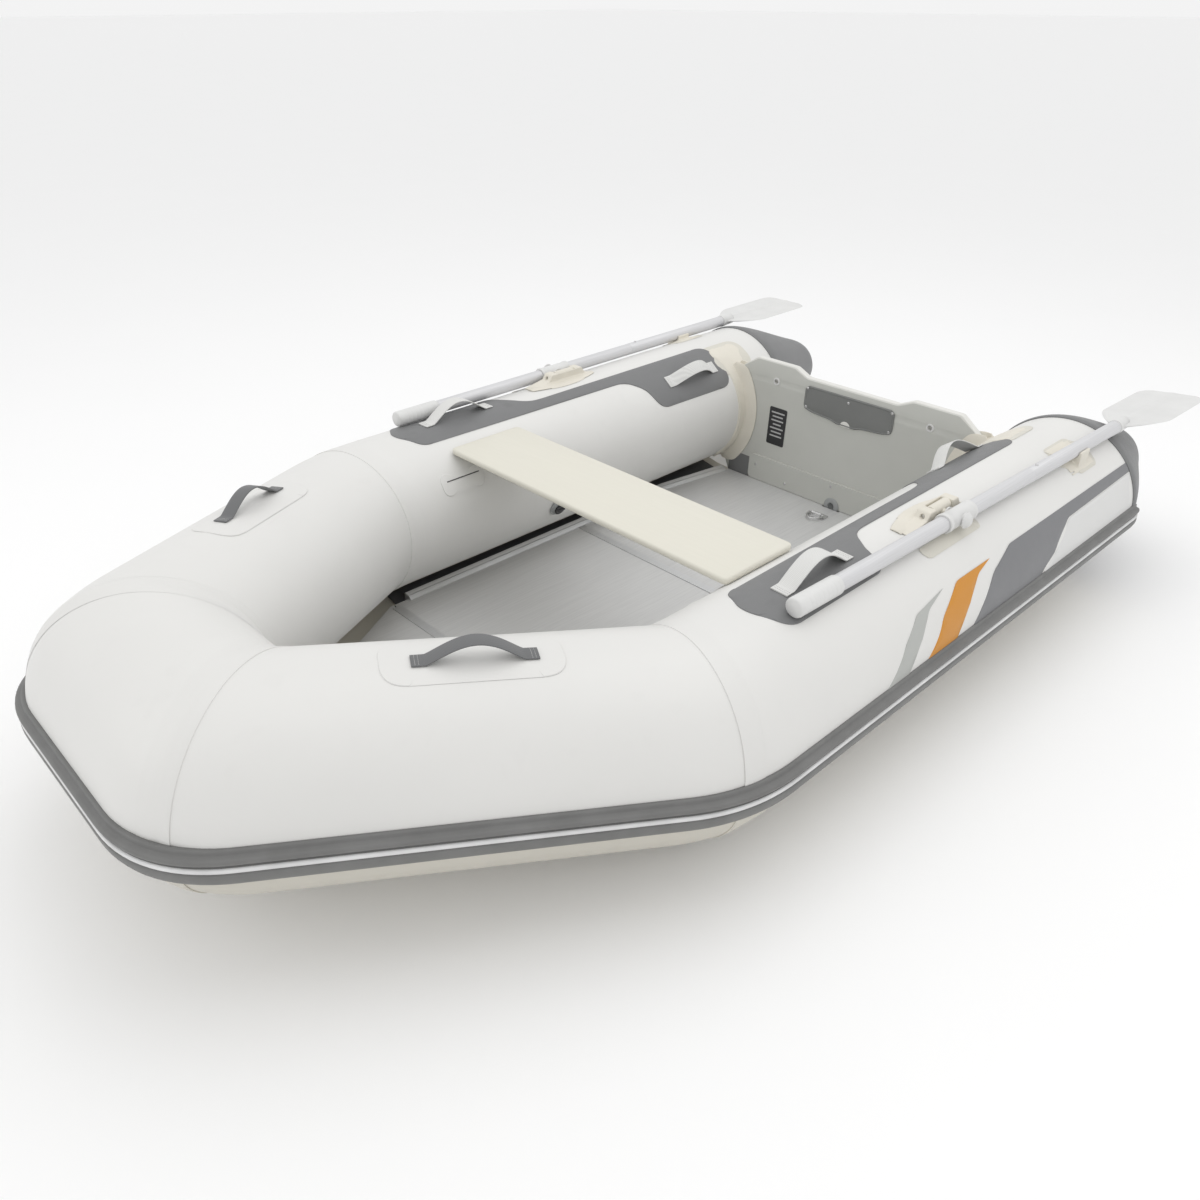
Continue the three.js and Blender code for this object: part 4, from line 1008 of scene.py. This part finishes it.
# The builder's plate, left blank apart from plain bars.
LABEL_Y, LABEL_Z = (-0.266, -0.202), (-0.069, 0.051)
label = plate([rectangle(*LABEL_Y, *LABEL_Z, 0.006)], 0.0001, 0.0009, 0.0003, transom_frame)
piece("data_plate", label, dark_plastic, "dark_plastic")
bars = Form()
BAR_ROWS, BAR_PITCH, BAR_HALF = 7, 0.0125, 0.0022
for k in range(BAR_ROWS):
    middle_z = LABEL_Z[1] - 0.016 - k * BAR_PITCH
    reach = (0.024, 0.019, 0.022, 0.015)[k % 4]
    middle_y = sum(LABEL_Y) / 2
    bar = rectangle(middle_y - reach, middle_y + reach, middle_z - BAR_HALF, middle_z + BAR_HALF, 0.001, 2)
    bars.add(plate([bar], 0.0006, 0.0012, 0.0001, transom_frame))
piece("data_plate_bars", bars, label_print, "dark_plastic")

# Patches in the corners between the transom, the tubes and the floor.
corner = plate([rectangle(0.318, 0.400, -0.205, -0.135, 0.004)], 0.0002, 0.0018, 0.0004, transom_frame)
pair("corner_patch", corner, grey_fabric, "grey_fabric")

HOLDER_SPAN = (132, 234)  # degrees round the tube
HOLDER_SEAT = 0.0074  # between the tube and the board's edge
HOLDER_HEIGHT = 0.042


def holder_web_form():
    """A channel round the tube that grips the transom's edge between two lips."""
    lip = [(0.013, -0.001), (0.013, 0.0005), (0.008, 0.003), (0.0052, 0.010), (0.0044, 0.039),
           (0.0034, HOLDER_HEIGHT), (0.0012, HOLDER_HEIGHT), (0.0003, 0.040), (0.0003, HOLDER_SEAT)]
    section = lip + [(-TRANSOM_THICKNESS - depth, height) for depth, height in reversed(lip)]
    steps = 52
    fade = 7  # rows over which each end of the lips rises

    def place(i, j):
        turn = math.radians(HOLDER_SPAN[0] + (HOLDER_SPAN[1] - HOLDER_SPAN[0]) * i / (steps - 1))
        rise = math.sin(math.pi / 2 * min((min(i, steps - 1 - i) + 1) / fade, 1))
        depth, height = section[j]
        height = min(height, HOLDER_SEAT) + max(height - HOLDER_SEAT, 0) * rise
        radius = TUBE_R + height
        return transom_frame @ Vector((TUBE_Y + radius * math.cos(turn), radius * math.sin(turn), depth))
    return grid(steps, len(section), place)


foot_outline = on_tube([(0.132, 108), (0.262, 108), (0.262, 236), (0.132, 236)], 0.035, 10)
holder_foot = patch(side_tube, foot_outline, 0.0036, edge=0.004)
pair("transom_holder_channel", holder_web_form().add(holder_foot), ivory, "ivory_plastic",
     replaces=["transom_holder_{}"])

# Drain fitting with its grate, and the flap outside.
drain_middle = transom_frame @ Vector((0, DRAIN_Z, 0.0073))
DRAIN_LENGTH = 0.0373
drain = turned([
    (0.011, -0.003), (0.023, -0.003), (0.025, -0.0015), (0.025, 0), (0.0145, 0), (0.0145, DRAIN_LENGTH),
    (0.011, DRAIN_LENGTH), (0.011, -0.003),
], drain_middle, -transom_out)
GRATE_R, GRATE_PITCH, GRATE_BAR = 0.0115, 0.0042, 0.0008
grate_middle = drain_middle + transom_out * 0.0015
grate_section = rectangle(-GRATE_BAR, GRATE_BAR, -GRATE_BAR, GRATE_BAR, 0.0003, 2)
for k in range(-2, 3):
    middle = grate_middle + Y * k * GRATE_PITCH
    half = Z * math.sqrt(GRATE_R ** 2 - (k * GRATE_PITCH) ** 2)
    drain.add(sweep(grate_section, [middle - half, middle + half], lambda i: (Y, transom_out)))
piece("drain_fitting_body", drain, grey_plastic, "grey_plastic", replaces=["drain_fitting"])

flap_back = -TRANSOM_THICKNESS - 0.0056
HINGE_Z = DRAIN_Z + 0.024
flap = turned([
    (0, 0), (0.0175, 0), (0.018, 0.0006), (0.018, 0.0024), (0.0165, 0.003), (0.008, 0.003), (0.006, 0.0022),
    (0, 0.0022),
], transom_frame @ Vector((0, DRAIN_Z, flap_back)), -transom_out)
tab = rounded([(-0.007, DRAIN_Z), (0.007, DRAIN_Z), (0.006, HINGE_Z), (-0.006, HINGE_Z)], 0.002, 4)
flap.add(plate([tab], flap_back - 0.003, flap_back, 0.0006, transom_frame))
hinge = transom_frame @ Vector((0, HINGE_Z, flap_back - 0.0015))
barrel = [(0, -0.007), (0.0028, -0.007), (0.003, -0.0065), (0.003, 0.0065), (0.0028, 0.007), (0, 0.007)]
flap.add(turned(barrel, hinge, Y, 24))
piece("drain_flap_disc", flap, dark_plastic, "dark_plastic", "drain_flap", ["drain_flap"])

# ---------------------------------------------------------------- floor

for node in ("floor_board_aft", "floor_board_middle", "floor_board_front"):
    finish_node(node, floor_metal, 0.0008)
for node in ("floor_joiner_aft", "floor_joiner_front", "stringer_port", "stringer_starboard"):
    finish_node(node, profile_metal, 0.0004)

# A dark sheet in the gap between a stringer and its tube: painted shade, standing in for the shadow in that
# gap.
GAP_MIDDLE = Vector((0, 0.482, 0.0305))
gap_side = Vector((0, 0.98, 0.2)).normalized()
gap_path = [GAP_MIDDLE + X * (board_high.x + 0.004), GAP_MIDDLE + X * (KNEE.x - 0.05)]
gap_section = rectangle(-0.029, 0.029, 0, 0.001, 0.0003, 2)
gap_shade_strip = sweep(gap_section, gap_path, lambda i: (gap_side, X.cross(gap_side)))
pair("floor_gap_shade_strip", gap_shade_strip, keel_fabric, "keel_fabric")
finish_node("floor_ring_base", steel, 0.0006)

ring_low, ring_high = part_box("floor_ring")
WIRE_R = 0.0024
ring_x = ring_low.x + WIRE_R
ring_z = (ring_low.z + ring_high.z) / 2
RING_HALF = ring_high.y - WIRE_R


def ring_path(steps=32):
    """A straight bar, then a half circle back to its start."""
    path = [Vector((ring_x, y * RING_HALF, ring_z)) for y in (-0.9, -0.5, 0, 0.5, 0.9)]
    reach = ring_high.x - WIRE_R - ring_x
    for k in range(steps + 1):
        turn = math.pi * k / steps
        path.append(Vector((ring_x + reach * math.sin(turn), RING_HALF * math.cos(turn), ring_z)))
    return path


ring = bead(ring_path(), WIRE_R, Z, 16)
piece("floor_ring_wire", ring, steel, "stainless_steel", "floor_ring", ["floor_ring"], 60)

# ---------------------------------------------------------------- seat

seat_outline = rectangle(seat_low.x, seat_high.x, seat_low.y, seat_high.y, 0.015, 8)
seat = plate([seat_outline], seat_low.z, seat_high.z, 0.0055)
piece("seat_panel", seat, seat_paint, "seat_wood", "seat", ["seat_board"])

# ---------------------------------------------------------------- valves

VALVE_ALONG, VALVE_ANGLE = 0.998, 199
valve_way = side_tube.spoke(VALVE_ANGLE)
valve_foot = side_tube.at(VALVE_ALONG, VALVE_ANGLE)
valve = turned([(0.010, -0.014), (0.017, -0.014), (0.017, 0.0004), (0.0275, 0.0004), (0.0275, 0.0022),
                (0.0255, 0.0036), (0.0225, 0.006), (0.0212, 0.0086), (0.0205, 0.009), (0.0145, 0.009),
                (0.014, 0.0085), (0.014, 0.003), (0.010, 0.003), (0.010, -0.014)], valve_foot, valve_way, 64)
pair("valve_body", valve, grey_plastic, "grey_plastic", replaces=["valve_{}"])
cap = turned([(0, 0.0034), (0.0134, 0.0034), (0.0136, 0.0093), (0.0176, 0.0093), (0.018, 0.0098),
              (0.018, 0.0125), (0.0172, 0.0133), (0.013, 0.0142), (0, 0.015)], valve_foot, valve_way, 64)
grip_path = [valve_foot + valve_way * h for h in (0.012, 0.017, 0.0185, 0.019)]
narrow = [1, 0.97, 0.88, 0.7]
cross = X.cross(valve_way).normalized()
grip_section = rectangle(-0.013, 0.013, -0.0021, 0.0021, 0.002, 4)
cap.add(sweep(grip_section, grip_path, lambda i: (X * narrow[i], cross * narrow[i])))
pair("valve_cap_top", cap, dark_plastic, "dark_plastic", "valve_cap_{}", ["valve_cap_{}"])

# ---------------------------------------------------------------- oars

OAR_GRIP_END = STERN + Vector((1.330, 0.067, 0.206))
OAR_FERRULE = STERN + Vector((0, 0.095, 0.1945))
OAR_R = 0.017
OAR_LENGTH = (OAR_GRIP_END - OAR_FERRULE).length
oar_way = (OAR_GRIP_END - OAR_FERRULE).normalized()
oar_side = Z.cross(oar_way).normalized()
oar_up = oar_way.cross(oar_side)
SLEEVE_END = 0.455  # along the oar from the ferrule, where the shaft meets the blade
BUTTON_AT = 0.425
LOCK_ALONG = 0.775  # forward of the ferrule, along X
collar_at = LOCK_ALONG / oar_way.x
COLLAR_HALF = 0.053
COLLAR_R = 0.0205
oar_matrix = Matrix.Translation(OAR_FERRULE) @ Matrix(
    [[oar_way[i], oar_side[i], oar_up[i], 0] for i in range(3)] + [[0, 0, 0, 1]]
)


def on_oar(profile):
    return turned(profile, OAR_FERRULE, oar_way, 56)


PLUG_R, PLUG_START = 0.0152, 0.385  # the fore half ends in a plug inside the aft half
AFT_BORE = 0.0156
fore = on_oar([
    (0, PLUG_START), (PLUG_R, PLUG_START), (PLUG_R, SLEEVE_END), (OAR_R - 0.0004, SLEEVE_END),
    (OAR_R, SLEEVE_END + 0.0005), (OAR_R, OAR_LENGTH - 0.006), (0, OAR_LENGTH - 0.006),
])
pair("oar_fore_tube", fore, shaft_metal, "shaft_aluminium", "oar_{}", ["oar_shaft_fore_{}"])
aft = on_oar([
    (AFT_BORE, 0), (OAR_R, 0), (OAR_R, SLEEVE_END - 0.001), (OAR_R - 0.0005, SLEEVE_END - 0.0003),
    (AFT_BORE, SLEEVE_END - 0.0003), (AFT_BORE, 0),
])
pair("oar_aft_tube", aft, shaft_metal, "shaft_aluminium", "oar_{}", ["oar_shaft_aft_{}"])

GRIP_R = OAR_R + 0.003
GROOVES, GROOVE_PITCH, GROOVE_R = 8, 0.0125, GRIP_R - 0.0004
grip_start = OAR_LENGTH - 0.128
grip = [(0.0172, grip_start), (OAR_R + 0.0018, grip_start), (GROOVE_R, grip_start + 0.0015),
        (GRIP_R, grip_start + 0.006)]
for k in range(GROOVES):
    d = grip_start + 0.012 + GROOVE_PITCH * k
    grip += [(GRIP_R, d), (GROOVE_R, d + 0.0015), (GRIP_R, d + 0.003)]
grip += [(GRIP_R, OAR_LENGTH - 0.006), (OAR_R + 0.0022, OAR_LENGTH - 0.002), (OAR_R, OAR_LENGTH),
         (0, OAR_LENGTH), (0, grip_start)]
pair("oar_grip_sleeve", on_oar(grip), white_plastic, "white_plastic", "oar_{}", ["oar_grip_{}"], 50)

COLLAR_BORE, BAND_R = 0.0173, COLLAR_R + 0.0012
band = [(COLLAR_R, 0), (BAND_R, 0.002), (BAND_R, 0.010), (COLLAR_R, 0.012)]  # a raised band at each end
collar = on_oar([
    (COLLAR_BORE, collar_at - COLLAR_HALF),
    *[(radius, collar_at - COLLAR_HALF + distance) for radius, distance in band],
    *[(radius, collar_at + COLLAR_HALF - distance) for radius, distance in reversed(band)],
    (COLLAR_BORE, collar_at + COLLAR_HALF), (COLLAR_BORE, collar_at - COLLAR_HALF),
])
lock_middle = OAR_FERRULE + oar_way * collar_at
boss = [(0.007, 0.0172), (0.016, 0.0172), (0.0155, 0.0205), (0.0148, 0.0213), (0.007, 0.0213),
        (0.007, 0.0172)]
for sign in (1, -1):
    collar.add(turned(boss, lock_middle, oar_side * sign, 40))
pair("oar_collar_sleeve", collar, white_plastic, "white_plastic", "oar_{}", ["oar_collar_{}"])

cap_start = lock_middle + oar_side * (COLLAR_R + 0.0014)
lock_cap = turned([
    (0, 0.0002), (0.0172, 0), (0.018, 0.0008), (0.018, 0.0028), (0.0165, 0.004), (0.0140, 0.0072),
    (0.011, 0.0098), (0.006, 0.0125), (0, 0.0133),
], cap_start, oar_side, 40)
pair("oarlock_cap_dome", lock_cap, white_plastic, "ivory_plastic", "oar_{}", ["oarlock_cap_{}"])

button = turned([
    (0, 0.009), (0.006, 0.009), (0.006, 0.011), (0.0034, 0.011), (0.0034, 0.0188), (0.003, 0.0196),
    (0.0018, 0.02), (0, 0.0201),
], OAR_FERRULE + oar_way * BUTTON_AT, oar_up, 24)
pair("oar_button_pin", button, steel, "stainless_steel", "oar_button_{}", ["oar_button_{}"])

BLADE_LENGTH, BLADE_HALF = 0.390, 0.084
BLADE_START = 0.014
BLADE_ROLL = {"port": 0.12, "starboard": 0.0}  # how far each blade lies turned about its shaft, in radians
BLADE_NECK = 0.014  # half the width where the blade leaves its neck
FLARE = 0.125  # distance over which it widens
TIP_FROM = 0.88  # share of the length where the end begins to round


def blade_form(roll):
    """A moulded paddle: a thin blade with a tapering spine and rolled edges, on a plug for the shaft."""
    rows, columns = 46, 26

    def place(i, j):
        s = math.sin(math.pi / 2 * i / (rows - 1))
        from_neck = (BLADE_LENGTH - BLADE_START) * s
        spread = 1 - (1 - min(from_neck / FLARE, 1)) ** 1.5
        close = max(1 - (max(s - TIP_FROM, 0) / (1 - TIP_FROM)) ** 3, 0) ** (1 / 3)
        half = BLADE_NECK + (BLADE_HALF - BLADE_NECK) * spread * close - BLADE_NECK * (1 - close)
        upper = j < columns
        share = (j if upper else 2 * columns - 1 - j) / (columns - 1) * 2 - 1
        across = share * half
        spine = 0.0082 * math.exp(-((across / 0.011) ** 2)) * (1 - 0.86 * s)
        edge = 0.0008 * math.exp(-(((abs(share) - 0.93) / 0.05) ** 2))
        thick = (0.0021 + spine + edge) * (1 - abs(share) ** 14) + 0.0002
        tip = 1 - max(s - 0.985, 0) / 0.015 * 0.8
        return Vector((-BLADE_START - from_neck, across, (thick if upper else -thick) * tip))
    form = grid(rows, 2 * columns, place)
    neck = turned([
        (0, -0.062), (0.012, -0.061), (0.0162, -0.056), (OAR_R, -0.036), (OAR_R, -0.016),
        (OAR_R + 0.0016, -0.015), (OAR_R + 0.0016, -0.0016), (OAR_R - 0.0006, -0.0004), (0.0142, -0.0004),
        (0.0142, 0.07), (0, 0.07),
    ], Vector(), X, 48)
    return form.add(neck).moved(oar_matrix @ Matrix.Rotation(roll, 4, "X"))


for side, sign in SIDES:
    blade = blade_form(sign * BLADE_ROLL[side])
    if sign < 0:
        blade = blade.mirrored()
    piece(f"oar_blade_{side}_paddle", blade, white_plastic, "white_plastic", f"oar_{side}",
          [f"oar_blade_{side}"])

for side, sign in SIDES:
    moulding(f"oarlock_base_{side}", 0.0016, 6, ivory, "ivory_plastic", "hull")
    moulding(f"oarlock_block_{side}", 0.0012, 5, ivory, "ivory_plastic", f"oar_{side}")
    moulding(f"oar_holder_{side}", 0.0016, 6, ivory, "ivory_plastic", "hull")
pin_low, pin_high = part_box("oarlock_pin_port")
pin_middle = (pin_low + pin_high) / 2
PIN_R = (pin_high.y - pin_low.y) / 2
pin_reach = (pin_high.x - pin_low.x) / 2
PIN_EDGE = 0.0008
pin = turned([
    (0, -pin_reach), (PIN_R - PIN_EDGE, -pin_reach), (PIN_R, -pin_reach + PIN_EDGE),
    (PIN_R, pin_reach - PIN_EDGE), (PIN_R - PIN_EDGE, pin_reach), (0, pin_reach),
], pin_middle, X, 32)
pair("oarlock_pin_rod", pin, steel, "stainless_steel", replaces=["oarlock_pin_{}"])

# ---------------------------------------------------------------- floor, light and camera


def studio_surface(name, colour):
    look = Look(name, 0.6)
    look.colour(look.ramp(look.noise(2, 3), 0.3, 0.7, scaled(colour, 0.995), colour))
    return look.material


ground = bpy.data.meshes.new("studio_floor")
REACH = 80  # half the width of the studio floor
corners = [(-REACH, -REACH, 0), (REACH, -REACH, 0), (REACH, REACH, 0), (-REACH, REACH, 0)]
ground.from_pydata(corners, [], [[0, 1, 2, 3]])
ground.materials.append(studio_surface("studio_floor", (0.96, 0.96, 0.96)))
studio_floor = bpy.data.objects.new("studio_floor", ground)
studio_floor.location.z = KEEL_Z - 0.0005
bpy.context.scene.collection.objects.link(studio_floor)
studio_floor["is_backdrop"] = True

SKY = 0.90  # strength of the light from all round
world = bpy.data.worlds.new("studio")
bpy.context.scene.world = world
world.use_nodes = True
backdrop = world.node_tree.nodes["Background"]
backdrop.inputs["Color"].default_value = (1, 1, 1, 1)
backdrop.inputs["Strength"].default_value = SKY


def soft_light(name, place, target, size, power):
    light = bpy.data.lights.new(name, "AREA")
    light.shape = "SQUARE"
    light.size = size
    light.energy = power
    lamp = bpy.data.objects.new(name, light)
    lamp.location = place
    lamp.rotation_euler = (Vector(target) - Vector(place)).to_track_quat("-Z", "Y").to_euler()
    bpy.context.scene.collection.objects.link(lamp)


soft_light("top_light", (-0.6, 0.4, 3.4), (0, 0, 0.2), 3.6, 30)
soft_light("bow_light", (3.6, -1.6, 2.2), (0.4, 0, 0.2), 2.4, 10)

CAMERA_AT = Vector((1.656, 1.457, 1.407))
CAMERA_AZIMUTH, CAMERA_ELEVATION = math.radians(137.3), math.radians(28.5)
LENS, SENSOR = 30.33, 36
SHIFT_X, SHIFT_Y = 0.0319, -0.0481
back = Vector((
    math.sin(CAMERA_AZIMUTH) * math.cos(CAMERA_ELEVATION),
    -math.cos(CAMERA_AZIMUTH) * math.cos(CAMERA_ELEVATION),
    math.sin(CAMERA_ELEVATION),
))
camera = bpy.data.objects.new("camera", bpy.data.cameras.new("camera"))
camera.location = CAMERA_AT
camera.rotation_euler = (-back).to_track_quat("-Z", "Y").to_euler()
camera.data.sensor_width = SENSOR
camera.data.lens = LENS
camera.data.shift_x = SHIFT_X
camera.data.shift_y = SHIFT_Y
bpy.context.scene.collection.objects.link(camera)
bpy.context.scene.camera = camera
bpy.context.scene.view_settings.view_transform = "Standard"

low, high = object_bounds()
